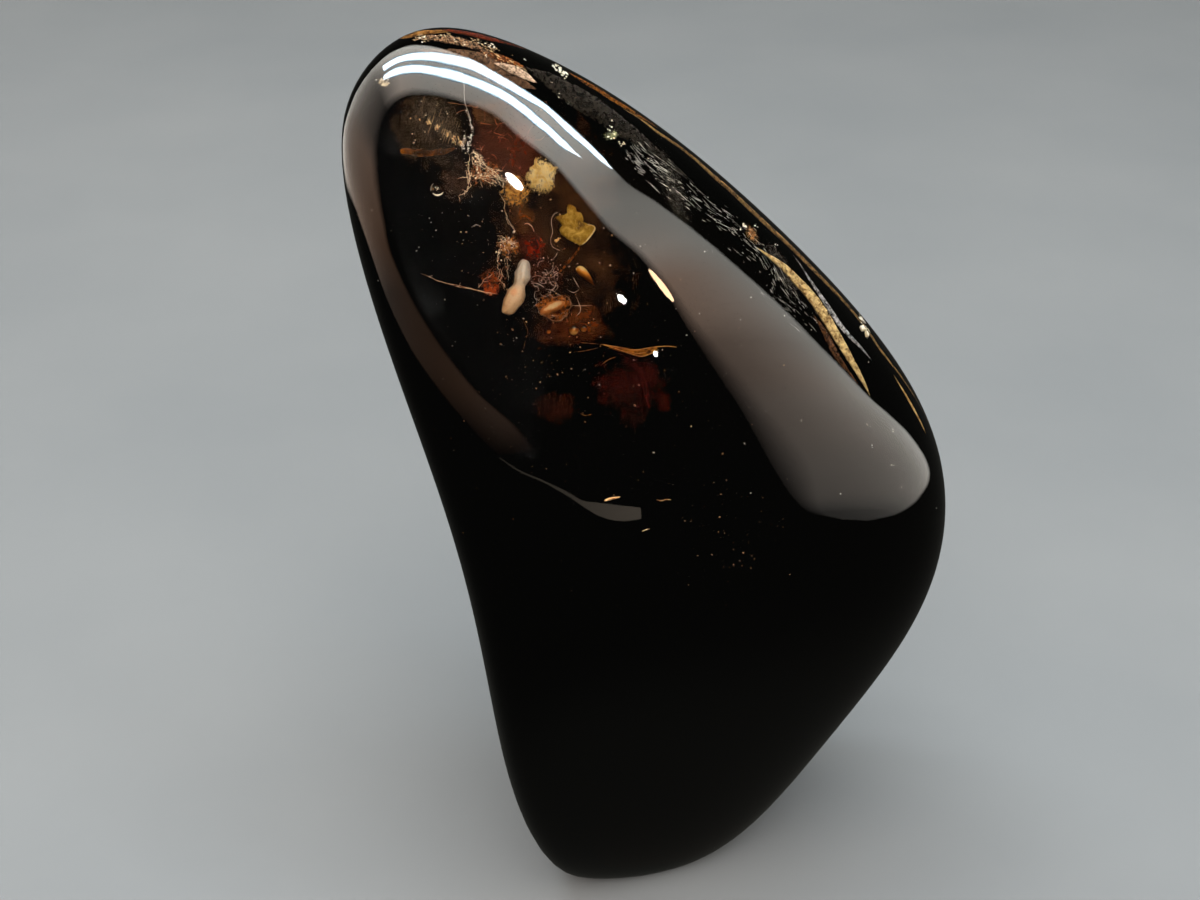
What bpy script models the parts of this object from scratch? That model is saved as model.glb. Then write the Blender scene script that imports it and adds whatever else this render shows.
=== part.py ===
"""Tumbled amber: a dark, polished freeform lump that stands on a small worn foot.

The stone is one closed surface, worn by tumbling into eighteen broad faces that run into
each other with no edges. A seam just under the front face parts it into a front and a back
half, and six pieces of trapped matter lie in pockets on that seam.

Origin: the middle of the flat foot. +Z is up, -Y is the front, +X leads to the broad end.
"""
import math

import bmesh
import bpy
import numpy as np
from mathutils import Matrix, Vector

MM = 0.001                       # all sizes below are in millimetres

# The middle that the worn faces are measured from.
STONE_CENTRE = (-9.6, -3.3, 34.0)

# Each worn face: the way it looks (azimuth, elevation in degrees) and its distance from the
# middle. Azimuth 0 is the front, 90 the right (+X), 180 the back, 270 the left.
WORN_FACES = {
    "front":         (15, 30, 11.4),
    "front_low":     (15, -15, 14.9),
    "front_right":   (37, 15, 18.5),
    "front_top":     (22, 41, 24.3),
    "front_left":    (323, 11, 12.6),
    "left":          (270, -13, 6.0),
    "left_back":     (236, 4, 12.6),
    "shoulder":      (85, 43, 26.3),
    "shoulder_back": (128, 31, 22.8),
    "right_tip":     (105, -4, 27.5),
    "right_low":     (81, -24, 30.2),
    "crown":         (60, 60, 30.2),
    "crown_left":    (286, 35, 24.3),
    "crown_back":    (164, 54, 27.0),
    "back":          (188, 3, 12.5),
    "back_low":      (192, -24, 22.1),
    "bottom":        (0, -90, 39.6),
    "bottom_left":   (280, -50, 26.4),
}
FACE_BLEND = 6.9                 # higher makes flatter faces with tighter turns between them

# The whole stone leans in at its waist, which hollows its left side a little.
WAIST_SHIFT = 2.7
WAIST_HEIGHT = 31.0
WAIST_REACH = 15.5

SURFACE_SPLITS = 5               # icosphere subdivisions: 5120 triangles before the cuts

# The seam that parts the stone: a plane about 2.6 mm under the front face.
SEAM_CENTRE = (-9.3, -4.8, 49.1)
SEAM_AZIMUTH = 10.0
SEAM_ELEVATION = 32.0
SEAM_GAP = 0.3                   # between the two halves
POCKET_GAP = 0.3                 # between a piece of trapped matter and its pocket

# Where each piece lies on the seam: across, upslope, spin about the seam's normal in degrees
# and tilt out of the seam in degrees.
PLACES = {
    "pale_pellet":  (-0.10, -1.45, -20.0, 6.0),
    "small_pellet": (1.95, -2.75, -70.0, 0.0),
    "upper_flake":  (2.00, 5.05, 0.0, 10.0),
    "lower_flake":  (3.75, 1.95, 0.0, -10.0),
    "bark_sliver":  (-4.50, 6.95, 86.0, 0.0),
    "droplet":      (4.05, -0.95, 28.0, 4.0),
}

# Spun pieces: length along their own axis, largest half-width, half-thickness ratio.
PALE_PELLET = (3.70, 0.74, 0.90)
SMALL_PELLET = (1.75, 0.40, 0.85)
BARK_SLIVER = (3.20, 0.27, 0.60)
DROPLET = (1.45, 0.46, 0.80)

FLAKE_THICKNESS = 0.42
UPPER_FLAKE_RADIUS = 1.02
LOWER_FLAKE_RADIUS = 0.60

# Spikes of the lower flake: direction in degrees, reach beyond its middle, half-angle.
LOWER_FLAKE_SPIKES = (
    (100, 0.62, 13), (60, 0.22, 15), (20, 0.30, 13), (-8, 0.66, 11), (-42, 0.40, 13),
    (-82, 0.68, 15), (-128, 0.22, 15), (-170, 0.36, 14), (152, 0.62, 14),
)
# Lobes of the upper flake's ragged outline: waves round it, depth, phase in degrees.
UPPER_FLAKE_LOBES = ((2, 0.10, 100), (3, 0.09, 20), (5, 0.08, 200), (9, 0.07, 75), (13, 0.05, 10))

# Colour, roughness and metallic value of each material.
FINISHES = {
    "amber":        ((0.045, 0.016, 0.006), 0.06, 0.0),
    "pale_pellet":  ((0.52, 0.41, 0.28), 0.45, 0.0),
    "small_pellet": ((0.41, 0.21, 0.07), 0.50, 0.0),
    "upper_flake":  ((0.67, 0.44, 0.14), 0.55, 0.0),
    "lower_flake":  ((0.27, 0.13, 0.012), 0.55, 0.0),
    "bark_sliver":  ((0.15, 0.037, 0.008), 0.60, 0.0),
    "droplet":      ((0.11, 0.03, 0.006), 0.15, 0.0),
}


def clear_scene():
    for obj in list(bpy.data.objects):
        bpy.data.objects.remove(obj, do_unlink=True)


def finish(name):
    colour, roughness, metallic = FINISHES[name]
    material = bpy.data.materials.new(name)
    material.use_nodes = True
    shader = material.node_tree.nodes["Principled BSDF"]
    shader.inputs["Base Color"].default_value = (*colour, 1.0)
    shader.inputs["Roughness"].default_value = roughness
    shader.inputs["Metallic"].default_value = metallic
    material.diffuse_color = (*colour, 1.0)
    return material


def facing(azimuth, elevation):
    """Unit vector that looks the way an azimuth and an elevation say."""
    a, e = math.radians(azimuth), math.radians(elevation)
    return Vector((math.sin(a) * math.cos(e), -math.cos(a) * math.cos(e), math.sin(e)))


def worn_surface(directions):
    """Point of the stone's skin along each unit direction from its middle, in mm.

    A plane at distance d with normal n is met at d / (n . u). Blending the planes with a
    high power keeps the nearest one and rounds the turn from one to the next.
    """
    normals = np.array([facing(a, e) for a, e, _ in WORN_FACES.values()])
    distances = np.array([d for _, _, d in WORN_FACES.values()])
    closeness = np.maximum(directions @ normals.T, 0.0) / distances
    reach = (closeness ** FACE_BLEND).sum(axis=1) ** (-1.0 / FACE_BLEND)
    points = np.array(STONE_CENTRE) + directions * reach[:, None]
    lean = np.exp(-((points[:, 2] - WAIST_HEIGHT) / WAIST_REACH) ** 2)
    points[:, 0] += WAIST_SHIFT * lean
    return points


def cut_flat(bm, point, normal):
    """Cut away the side that the normal points to, and close the cut with a flat face."""
    everything = bm.verts[:] + bm.edges[:] + bm.faces[:]
    cut = bmesh.ops.bisect_plane(bm, geom=everything, dist=1e-9, plane_co=point,
                                 plane_no=normal, clear_outer=True)
    rim = [e for e in cut["geom_cut"] if isinstance(e, bmesh.types.BMEdge)]
    bmesh.ops.edgeloop_fill(bm, edges=rim)


def stone_half(name, side, material):
    """The stone on one side of the seam: side +1 is its front, -1 its back."""
    bm = bmesh.new()
    bmesh.ops.create_icosphere(bm, subdivisions=SURFACE_SPLITS, radius=1.0)
    directions = np.array([v.co.normalized() for v in bm.verts])
    for vert, point in zip(bm.verts, worn_surface(directions)):
        vert.co = point * MM
    cut_flat(bm, Vector((0, 0, 0)), Vector((0, 0, -1)))
    normal = facing(SEAM_AZIMUTH, SEAM_ELEVATION)
    seam = (Vector(SEAM_CENTRE) + normal * side * SEAM_GAP / 2) * MM
    cut_flat(bm, seam, -side * normal)
    bmesh.ops.recalc_face_normals(bm, faces=bm.faces[:])
    mesh = bpy.data.meshes.new(name)
    bm.to_mesh(mesh)
    bm.free()
    mesh.materials.append(material)
    mesh.shade_smooth()
    mesh.set_sharp_from_angle(angle=math.radians(30))
    half = bpy.data.objects.new(name, mesh)
    bpy.context.collection.objects.link(half)
    return half


def closed_mesh(name, rings, first, last):
    """Mesh from a stack of rings with the same number of points, capped by two end points."""
    sides = len(rings[0])
    points = [first] + [p for ring in rings for p in ring] + [last]
    faces = []
    for s in range(sides):
        nxt = (s + 1) % sides
        faces.append((0, 1 + nxt, 1 + s))
        for r in range(len(rings) - 1):
            a, b = 1 + r * sides, 1 + (r + 1) * sides
            faces.append((a + s, a + nxt, b + nxt, b + s))
        end = 1 + (len(rings) - 1) * sides
        faces.append((end + s, end + nxt, len(points) - 1))
    mesh = bpy.data.meshes.new(name)
    mesh.from_pydata([tuple(c * MM for c in p) for p in points], [], faces)
    mesh.validate()
    bm = bmesh.new()
    bm.from_mesh(mesh)
    bmesh.ops.recalc_face_normals(bm, faces=bm.faces[:])
    bm.to_mesh(mesh)
    bm.free()
    return mesh


def spun_mesh(name, size, width_at, curve_at, grow, rings=13, sides=14):
    """A body turned along its own Y axis, thinner in Z, with its axis curved sideways."""
    length, half_width, flatness = size
    half = length / 2
    stack = []
    for r in range(1, rings):
        t = -math.cos(math.pi * r / rings)
        width = half_width * width_at(t) + grow
        depth = half_width * width_at(t) * flatness + grow
        angles = [2 * math.pi * s / sides for s in range(sides)]
        stack.append([(width * math.cos(a) + curve_at(t), t * (half + grow),
                       depth * math.sin(a)) for a in angles])
    first = (curve_at(-1), -half - grow, 0.0)
    last = (curve_at(1), half + grow, 0.0)
    return closed_mesh(name, stack, first, last)


def flake_mesh(name, outline_at, cup, grow, sides=44):
    """A thin ragged plate, cupped a little, thinning towards its edge."""
    half = FLAKE_THICKNESS / 2

    def ring(share, sign):
        points = []
        for s in range(sides):
            a = 2 * math.pi * s / sides
            radius = outline_at(a) * share + (grow if share == 1.0 else 0.0)
            x, y = radius * math.cos(a), radius * math.sin(a)
            lift = cup * (x * x - y * y)
            points.append((x, y, lift + sign * (half * (1 - 0.45 * share) + grow)))
        return points

    stack = [ring(0.55, -1), ring(1.0, -1), ring(1.0, 1), ring(0.55, 1)]
    return closed_mesh(name, stack, (0, 0, -half - grow), (0, 0, half + grow))


def round_end(t, power=0.5):
    return max(0.0, 1.0 - t * t) ** power


def pellet_width(t):
    """Two swellings with a waist between them; the lower one is the fuller."""
    swelling = 0.93 - 0.09 * t
    waist = 0.26 * math.exp(-((t - 0.05) / 0.26) ** 2)
    return (swelling - waist) * round_end(t, 0.36)


def grain_width(t):
    return round_end(t, 0.5) * (1.0 - 0.12 * t)


def splinter_width(t):
    """A blunt broken left end that wears away to a thin right end."""
    return round_end(t, 0.3) * (0.74 + 0.30 * t + 0.06 * math.sin(9.0 * t))


def droplet_width(t):
    """A drop: full head at the top, drawn out to a tail below."""
    return round_end(t, 0.5) * (0.62 + 0.42 * t) * 1.08


def lobed_outline(angle):
    depth = sum(d * math.cos(n * angle + math.radians(p)) for n, d, p in UPPER_FLAKE_LOBES)
    return UPPER_FLAKE_RADIUS * (1.0 + depth)


def spiked_outline(angle):
    reach = LOWER_FLAKE_RADIUS
    for direction, length, spread in LOWER_FLAKE_SPIKES:
        turn = math.degrees(angle) - direction
        turn = (turn + 180.0) % 360.0 - 180.0
        reach += length * math.exp(-(turn / spread) ** 2)
    return reach


def inclusion_mesh(kind, name, grow):
    """The mesh of one piece of trapped matter, or of its pocket when it has grown."""
    if kind == "pale_pellet":
        return spun_mesh(name, PALE_PELLET, pellet_width, lambda t: -0.16 * t * t, grow)
    if kind == "small_pellet":
        return spun_mesh(name, SMALL_PELLET, grain_width, lambda t: 0.05 * t * t, grow, 9, 12)
    if kind == "bark_sliver":
        return spun_mesh(name, BARK_SLIVER, splinter_width, lambda t: 0.07 * t * t, grow, 10, 8)
    if kind == "droplet":
        return spun_mesh(name, DROPLET, droplet_width, lambda t: -0.10 * t, grow, 10, 12)
    if kind == "upper_flake":
        return flake_mesh(name, lobed_outline, 0.06, grow)
    return flake_mesh(name, spiked_outline, -0.05, grow)


def seam_frame():
    """An empty on the seam: its Z is the seam's normal and its Y runs upslope."""
    normal = facing(SEAM_AZIMUTH, SEAM_ELEVATION)
    across = Vector((0, 0, 1)).cross(normal).normalized()
    upslope = normal.cross(across)
    turn = Matrix((across, upslope, normal)).transposed().to_4x4()
    frame = bpy.data.objects.new("seam", None)
    frame.empty_display_size = 0.005
    frame.matrix_world = Matrix.Translation(Vector(SEAM_CENTRE) * MM) @ turn
    bpy.context.collection.objects.link(frame)
    return frame


def place_on_seam(obj, kind, frame):
    across, upslope, spin, tilt = PLACES[kind]
    obj.parent = frame
    obj.location = (across * MM, upslope * MM, 0.0)
    obj.rotation_euler = (math.radians(tilt), 0.0, math.radians(spin))


def add_inclusion(kind, frame, halves):
    """A piece of trapped matter, and the pocket that it leaves in both halves."""
    piece = bpy.data.objects.new(kind, inclusion_mesh(kind, kind, 0.0))
    piece.data.materials.append(finish(kind))
    piece.data.shade_smooth()
    piece.data.set_sharp_from_angle(angle=math.radians(50))
    pocket_name = "pocket_" + kind
    pocket = bpy.data.objects.new(pocket_name, inclusion_mesh(kind, pocket_name, POCKET_GAP))
    pocket.hide_render = True
    pocket.display_type = "WIRE"
    for obj in (piece, pocket):
        bpy.context.collection.objects.link(obj)
        place_on_seam(obj, kind, frame)
    for half in halves:
        hollow = half.modifiers.new(pocket_name, "BOOLEAN")
        hollow.operation = "DIFFERENCE"
        hollow.solver = "EXACT"
        hollow.object = pocket


def build():
    clear_scene()
    amber = finish("amber")
    halves = [stone_half("amber_front", 1, amber), stone_half("amber_back", -1, amber)]
    frame = seam_frame()
    for kind in PLACES:
        add_inclusion(kind, frame, halves)
    bpy.context.view_layer.update()


build()
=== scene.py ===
# %% [markdown]
# # A tumbled lump of dark amber
# The real thing is one lump of fossil resin, polished in a drum until it is as smooth as glass.
# It stands on a small worn foot. Its colour isn't painted on: light is swallowed on its way
# through, so thin rims glow brown and the thick body looks black. Bits of the old forest are
# caught just under the front face, with cracks that flash gold.
#
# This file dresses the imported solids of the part. It loads them as a fixed frame, makes finer
# pieces in the same place, gives each a finish made of shader nodes, and lights the whole.

# %% Load the fixed frame
import math
import random

import bmesh
import bpy
import numpy as np
from mathutils import Matrix, Vector, noise
from mathutils.bvhtree import BVHTree


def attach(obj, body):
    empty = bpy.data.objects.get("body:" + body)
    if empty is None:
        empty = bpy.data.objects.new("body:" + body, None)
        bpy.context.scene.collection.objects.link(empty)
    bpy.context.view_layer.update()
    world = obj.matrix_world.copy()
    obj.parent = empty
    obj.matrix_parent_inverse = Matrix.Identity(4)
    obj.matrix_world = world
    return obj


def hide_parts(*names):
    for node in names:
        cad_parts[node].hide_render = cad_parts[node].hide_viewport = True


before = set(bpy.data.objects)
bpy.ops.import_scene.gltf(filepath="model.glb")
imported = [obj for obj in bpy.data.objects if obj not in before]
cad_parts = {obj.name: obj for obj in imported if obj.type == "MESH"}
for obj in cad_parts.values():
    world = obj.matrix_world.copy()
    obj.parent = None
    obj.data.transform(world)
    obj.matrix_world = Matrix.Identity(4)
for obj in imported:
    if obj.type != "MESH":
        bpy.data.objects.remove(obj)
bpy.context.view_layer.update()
MM = 0.001
print("solids:", sorted(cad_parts))

# %% [markdown]
# ## Shader sums as plain Python
# A finish is a small program of nodes. Wiring each one by hand hides what is being worked out,
# so a wire from a socket is wrapped here, and a sum on wires adds the Math nodes for it.

# %% Wire and Finish
class Wire:
    """A socket that carries a value; a sum on it adds a Math node."""

    def __init__(self, finish, socket):
        self.finish = finish
        self.socket = socket

    def sum(self, operation, first, second, clamp=False):
        settings = {"operation": operation, "use_clamp": clamp}
        return self.finish.node("Math", settings, {0: first, 1: second})

    def __add__(self, other):
        return self.sum("ADD", self, other)

    def __radd__(self, other):
        return self.sum("ADD", other, self)

    def __sub__(self, other):
        return self.sum("SUBTRACT", self, other)

    def __rsub__(self, other):
        return self.sum("SUBTRACT", other, self)

    def __mul__(self, other):
        return self.sum("MULTIPLY", self, other)

    def __rmul__(self, other):
        return self.sum("MULTIPLY", other, self)

    def clamped(self):
        return self.sum("ADD", self, 0.0, clamp=True)


class Finish:
    """A material with one Principled shader, built up by asking for nodes."""

    def __init__(self, name):
        self.material = bpy.data.materials.new(name)
        self.material.use_nodes = True
        self.tree = self.material.node_tree
        self.shader = self.tree.nodes["Principled BSDF"]

    def node(self, kind, settings, values, output=0):
        """Any node: its settings are set first, then the values or wires of its sockets."""
        node = self.tree.nodes.new("ShaderNode" + kind)
        stops = settings.pop("stops", None)
        for key, value in settings.items():
            setattr(node, key, value)
        if stops:
            ramp = node.color_ramp.elements
            while len(ramp) < len(stops):
                ramp.new(0.5)
            for element, (place, colour) in zip(ramp, stops):
                element.position = place
                element.color = (*colour, 1.0)
        for socket, value in values.items():
            self.join(node.inputs[socket], value)
        return Wire(self, node.outputs[output])

    def join(self, socket, value):
        if isinstance(value, Wire):
            self.tree.links.new(value.socket, socket)
        elif socket.type == "RGBA" and len(value) == 3:
            socket.default_value = (*value, 1.0)
        else:
            socket.default_value = value

    def set(self, **values):
        """Sockets of the shader, with _ for a space: roughness=0.4, base_color=wire."""
        for key, value in values.items():
            name = key.replace("_", " ").title().replace("Ior", "IOR")
            self.join(self.shader.inputs[name], value)

    def place(self):
        return self.node("TexCoord", {}, {}, output="Object")

    def along(self, start, end):
        """0 at one place of the part and 1 at another, both in millimetres."""
        way = (end - start) * MM
        offset = self.node("VectorMath", {"operation": "SUBTRACT"},
                           {0: self.place(), 1: start * MM})
        share = {0: offset, 1: way / way.length_squared}
        return self.node("VectorMath", {"operation": "DOT_PRODUCT"}, share, output="Value")

    def away(self, middle, right, up):
        """0 in the middle of an oval and 1 at its rim; right and up are its half axes."""
        x = self.along(middle, middle + right)
        y = self.along(middle, middle + up)
        return x * x + y * y

    def near(self, spot, full, gone):
        """1 within full millimetres of a spot, 0 beyond gone."""
        values = {0: self.place(), 1: spot * MM}
        away = self.node("VectorMath", {"operation": "DISTANCE"}, values, output="Value")
        return self.step(away, full * MM, gone * MM, 1.0, 0.0)

    def clouds(self, size, detail=3.0, warp=0.0, stretch=None, rough=0.5):
        """Soft noise from 0 to 1 whose blobs are about size millimetres across."""
        where = self.place()
        if stretch:
            where = self.node("Mapping", {}, {"Vector": where, "Scale": stretch})
        values = {"Vector": where, "Scale": 1.0 / (size * MM), "Detail": detail,
                  "Distortion": warp, "Roughness": rough}
        return self.node("TexNoise", {}, values)

    def ramp(self, value, *stops):
        """Turns a value into a colour by stops of (place, colour)."""
        return self.node("ValToRGB", {"stops": stops}, {0: value})

    def step(self, value, low, high, start=0.0, end=1.0):
        """A soft step: start below low, end above high."""
        values = {"Value": value, "From Min": low, "From Max": high, "To Min": start, "To Max": end}
        return self.node("MapRange", {"interpolation_type": "SMOOTHSTEP"}, values)

    def blend(self, share, first, second):
        """A colour between two: the first at a share of 0, the second at 1."""
        return self.node("Mix", {"data_type": "RGBA"}, {0: share, 6: first, 7: second}, output=2)

    def bump(self, height, depth, strength=1.0):
        """Relief from a value of 0 to 1, depth in millimetres."""
        values = {"Height": height, "Distance": depth * MM, "Strength": strength}
        return self.node("Bump", {}, values)


print("wires and finishes ready")

# %% [markdown]
# ## The worn stone
# Tumbling wears a lump into broad faces that run into each other with no edges. A plane at
# distance d with normal n is met at d / (n . u) along a direction u from the middle. Blending
# the planes with a high power keeps the nearest one and rounds the turn to the next. A sculpt
# could make this too, but then every later piece would have to guess where the skin is. Here
# one function tells it for any direction, and the solids of the part use the same one.

# %% The skin as a function
STONE_CENTRE = np.array((-9.6, -3.3, 34.0))
WORN_FACES = {                   # azimuth (0 is the front), elevation, distance
    "front": (15, 30, 11.4),
    "front_low": (15, -15, 14.9),
    "front_right": (37, 15, 18.5),
    "front_top": (22, 41, 24.3),
    "front_left": (323, 11, 12.6),
    "left": (270, -13, 6.0),
    "left_back": (236, 4, 12.6),
    "shoulder": (85, 43, 26.3),
    "shoulder_back": (128, 31, 22.8),
    "right_tip": (105, -4, 27.5),
    "right_low": (81, -24, 30.2),
    "crown": (60, 60, 30.2),
    "crown_left": (286, 35, 24.3),
    "crown_back": (164, 54, 27.0),
    "back": (188, 3, 12.5),
    "back_low": (192, -24, 22.1),
    "bottom": (0, -90, 39.6),
    "bottom_left": (280, -50, 26.4),
}
FACE_BLEND = 6.9
WAIST_SHIFT = 2.7
WAIST_HEIGHT = 31.0
WAIST_REACH = 15.5
FOOT_SOFTNESS = 0.25             # how far the foot's rim is rounded


def facing(azimuth, elevation):
    """Unit vector that looks the way an azimuth and an elevation say."""
    a, e = math.radians(azimuth), math.radians(elevation)
    return Vector((math.sin(a) * math.cos(e), -math.cos(a) * math.cos(e), math.sin(e)))


def worn_surface(directions):
    """Points of the skin along unit directions from the stone's middle, in mm."""
    normals = np.array([facing(a, e) for a, e, _ in WORN_FACES.values()])
    distances = np.array([d for _, _, d in WORN_FACES.values()])
    closeness = np.maximum(directions @ normals.T, 0.0) / distances
    reach = (closeness ** FACE_BLEND).sum(axis=1) ** (-1.0 / FACE_BLEND)
    points = STONE_CENTRE + directions * reach[:, None]
    lean = np.exp(-((points[:, 2] - WAIST_HEIGHT) / WAIST_REACH) ** 2)
    points[:, 0] += WAIST_SHIFT * lean
    height = points[:, 2]
    points[:, 2] = 0.5 * (height + np.sqrt(height ** 2 + FOOT_SOFTNESS ** 2))
    return points


stone_form = bmesh.new()
bmesh.ops.create_icosphere(stone_form, subdivisions=7, radius=1.0)
skin_points = worn_surface(np.array([v.co.normalized() for v in stone_form.verts]))
for vert, point in zip(stone_form.verts, skin_points):
    vert.co = point
stone_form.normal_update()
skin = BVHTree.FromBMesh(stone_form)
print("skin:", len(stone_form.faces), "faces, tallest", round(skin_points[:, 2].max(), 2), "mm")

# %% [markdown]
# ## Finding a place inside the stone
# The trapped bits lie on a healed seam just under the front face. Their places are told as on
# a small map of that seam: so far across, so far upslope, so deep under the skin. Pieces of the
# shoulder are told by the direction they lie in, like a town by its latitude and longitude.

# %% Places under the skin
SEAM_CENTRE = Vector((-9.3, -4.8, 49.1))
SEAM_NORMAL = facing(10.0, 32.0)
ACROSS = Vector((0, 0, 1)).cross(SEAM_NORMAL).normalized()
UPSLOPE = SEAM_NORMAL.cross(ACROSS)
OUTSIDE = 40.0


def on_seam(across, upslope, lift=0.0):
    """Point on the seam's own map, lifted towards the front skin."""
    return SEAM_CENTRE + ACROSS * across + UPSLOPE * upslope + SEAM_NORMAL * lift


def under_face(across, upslope, depth):
    """Point a depth under the front skin, straight in along the seam's normal."""
    start = on_seam(across, upslope, OUTSIDE)
    hit, _, _, _ = skin.ray_cast(start, -SEAM_NORMAL)
    return hit - SEAM_NORMAL * depth


def under_skin(azimuth, elevation, depth):
    """Point a depth under the skin in a direction from the stone's middle."""
    direction = np.array([facing(azimuth, elevation)])
    point = Vector(worn_surface(direction)[0])
    return point - skin_normal(point) * depth


def skin_normal(point):
    """The way the nearest bit of skin faces."""
    _, normal, _, _ = skin.find_nearest(point)
    return normal


print("face over the middle of the seam:", round((under_face(0, 0, 0) - SEAM_CENTRE).length, 2), "mm")

# %% [markdown]
# ## One clear stone
# The part's source cuts the stone in two along the seam, so that each trapped bit has a pocket
# to sit in. The real stone isn't cut: it is one clear lump. So one closed skin takes the place
# of both halves here. A bubble is a hole in the lump, which is a small ball whose skin faces
# inwards: light leaves the amber there, crosses the gas and goes back in.

# %% The clear stone and its bubbles
BUBBLES = (                      # across, upslope, depth, radius
    (-4.22, 4.54, 1.6, 0.38),
    (6.1, 7.0, 1.2, 0.10),
    (-5.3, 2.2, 1.4, 0.09),
    (-3.6, 8.9, 1.0, 0.08),
    (0.9, -5.2, 1.8, 0.10),
    (5.6, 0.6, 1.5, 0.11),
)


def finished_piece(name, mesh, material, nodes=()):
    """An object of the part: it rides on the stone's body and names its finish."""
    mesh.materials.clear()
    mesh.materials.append(material)
    piece = bpy.data.objects.new(name, mesh)
    bpy.context.collection.objects.link(piece)
    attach(piece, "root")
    if nodes:
        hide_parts(*nodes)
    return piece


def add_bubble(form, centre, radius):
    """A ball-shaped hole: its faces are turned to look into the hole."""
    made = bmesh.ops.create_icosphere(form, subdivisions=4, radius=radius)
    for vert in made["verts"]:
        vert.co += centre
    faces = {f for vert in made["verts"] for f in vert.link_faces}
    bmesh.ops.reverse_faces(form, faces=list(faces))


def clear_stone(material):
    form = stone_form.copy()
    for across, upslope, depth, radius in BUBBLES:
        add_bubble(form, under_face(across, upslope, depth), radius)
    bmesh.ops.scale(form, vec=(MM, MM, MM), verts=form.verts[:])
    mesh = bpy.data.meshes.new("amber")
    form.to_mesh(mesh)
    form.free()
    mesh.shade_smooth()
    return finished_piece("amber", mesh, material, ("amber_front", "amber_back"))


# %% [markdown]
# ## The amber itself
# Amber bends light by 1.54. Its brown isn't on its skin, so the skin is all but white and the
# colour comes from what the lump swallows per millimetre: blue most, then green, then red. A
# drum-polished skin is glossy but never perfect, so its roughness drifts a little, and faint
# scratches and dimples bend its reflections.

# %% Amber finish
AMBER_BENDING = 1.54
SWALLOWED_PER_METRE = 500.0
LEFT_OVER = (0.44, 0.28, 0.08)


def amber_finish():
    finish = Finish("amber")
    drift = finish.clouds(9.0, detail=2.0)
    hazy = finish.step(finish.clouds(2.2, detail=5.0, warp=0.6), 0.55, 0.75)
    dimples = finish.clouds(4.0, detail=2.0)
    height = drift * 0.6 + dimples * 0.4
    warm = finish.blend(drift, (1.0, 0.985, 0.96), (1.0, 0.96, 0.90))
    finish.set(base_color=warm, ior=AMBER_BENDING, transmission_weight=1.0,
               roughness=drift * 0.02 + hazy * 0.02, normal=finish.bump(height, 0.006, 0.25))
    swallowing = {"Color": LEFT_OVER, "Density": SWALLOWED_PER_METRE}
    volume = finish.node("VolumeAbsorption", {}, swallowing)
    finish.join(finish.tree.nodes["Material Output"].inputs["Volume"], volume)
    return finish.material


stone = clear_stone(amber_finish())
print("clear stone:", len(stone.data.polygons), "faces with", len(BUBBLES), "bubbles")

# %% [markdown]
# ## Shapes for small things
# A crack, a hair or a flake seen through amber is a thin closed shape. One kind of heap gathers
# them: a strand follows a path and tapers to both ends, a film is a ragged sheet round a
# middle, a body is turned along an axis, and a grain is a crumb. All are stacks of rings closed
# by two end points, so nothing is left open and a lamp can't shine into them.

# %% Heap
LEAST_DEPTH = 0.05               # nothing lies nearer the skin than this
FILM_LEAST_DEPTH = 0.12


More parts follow.
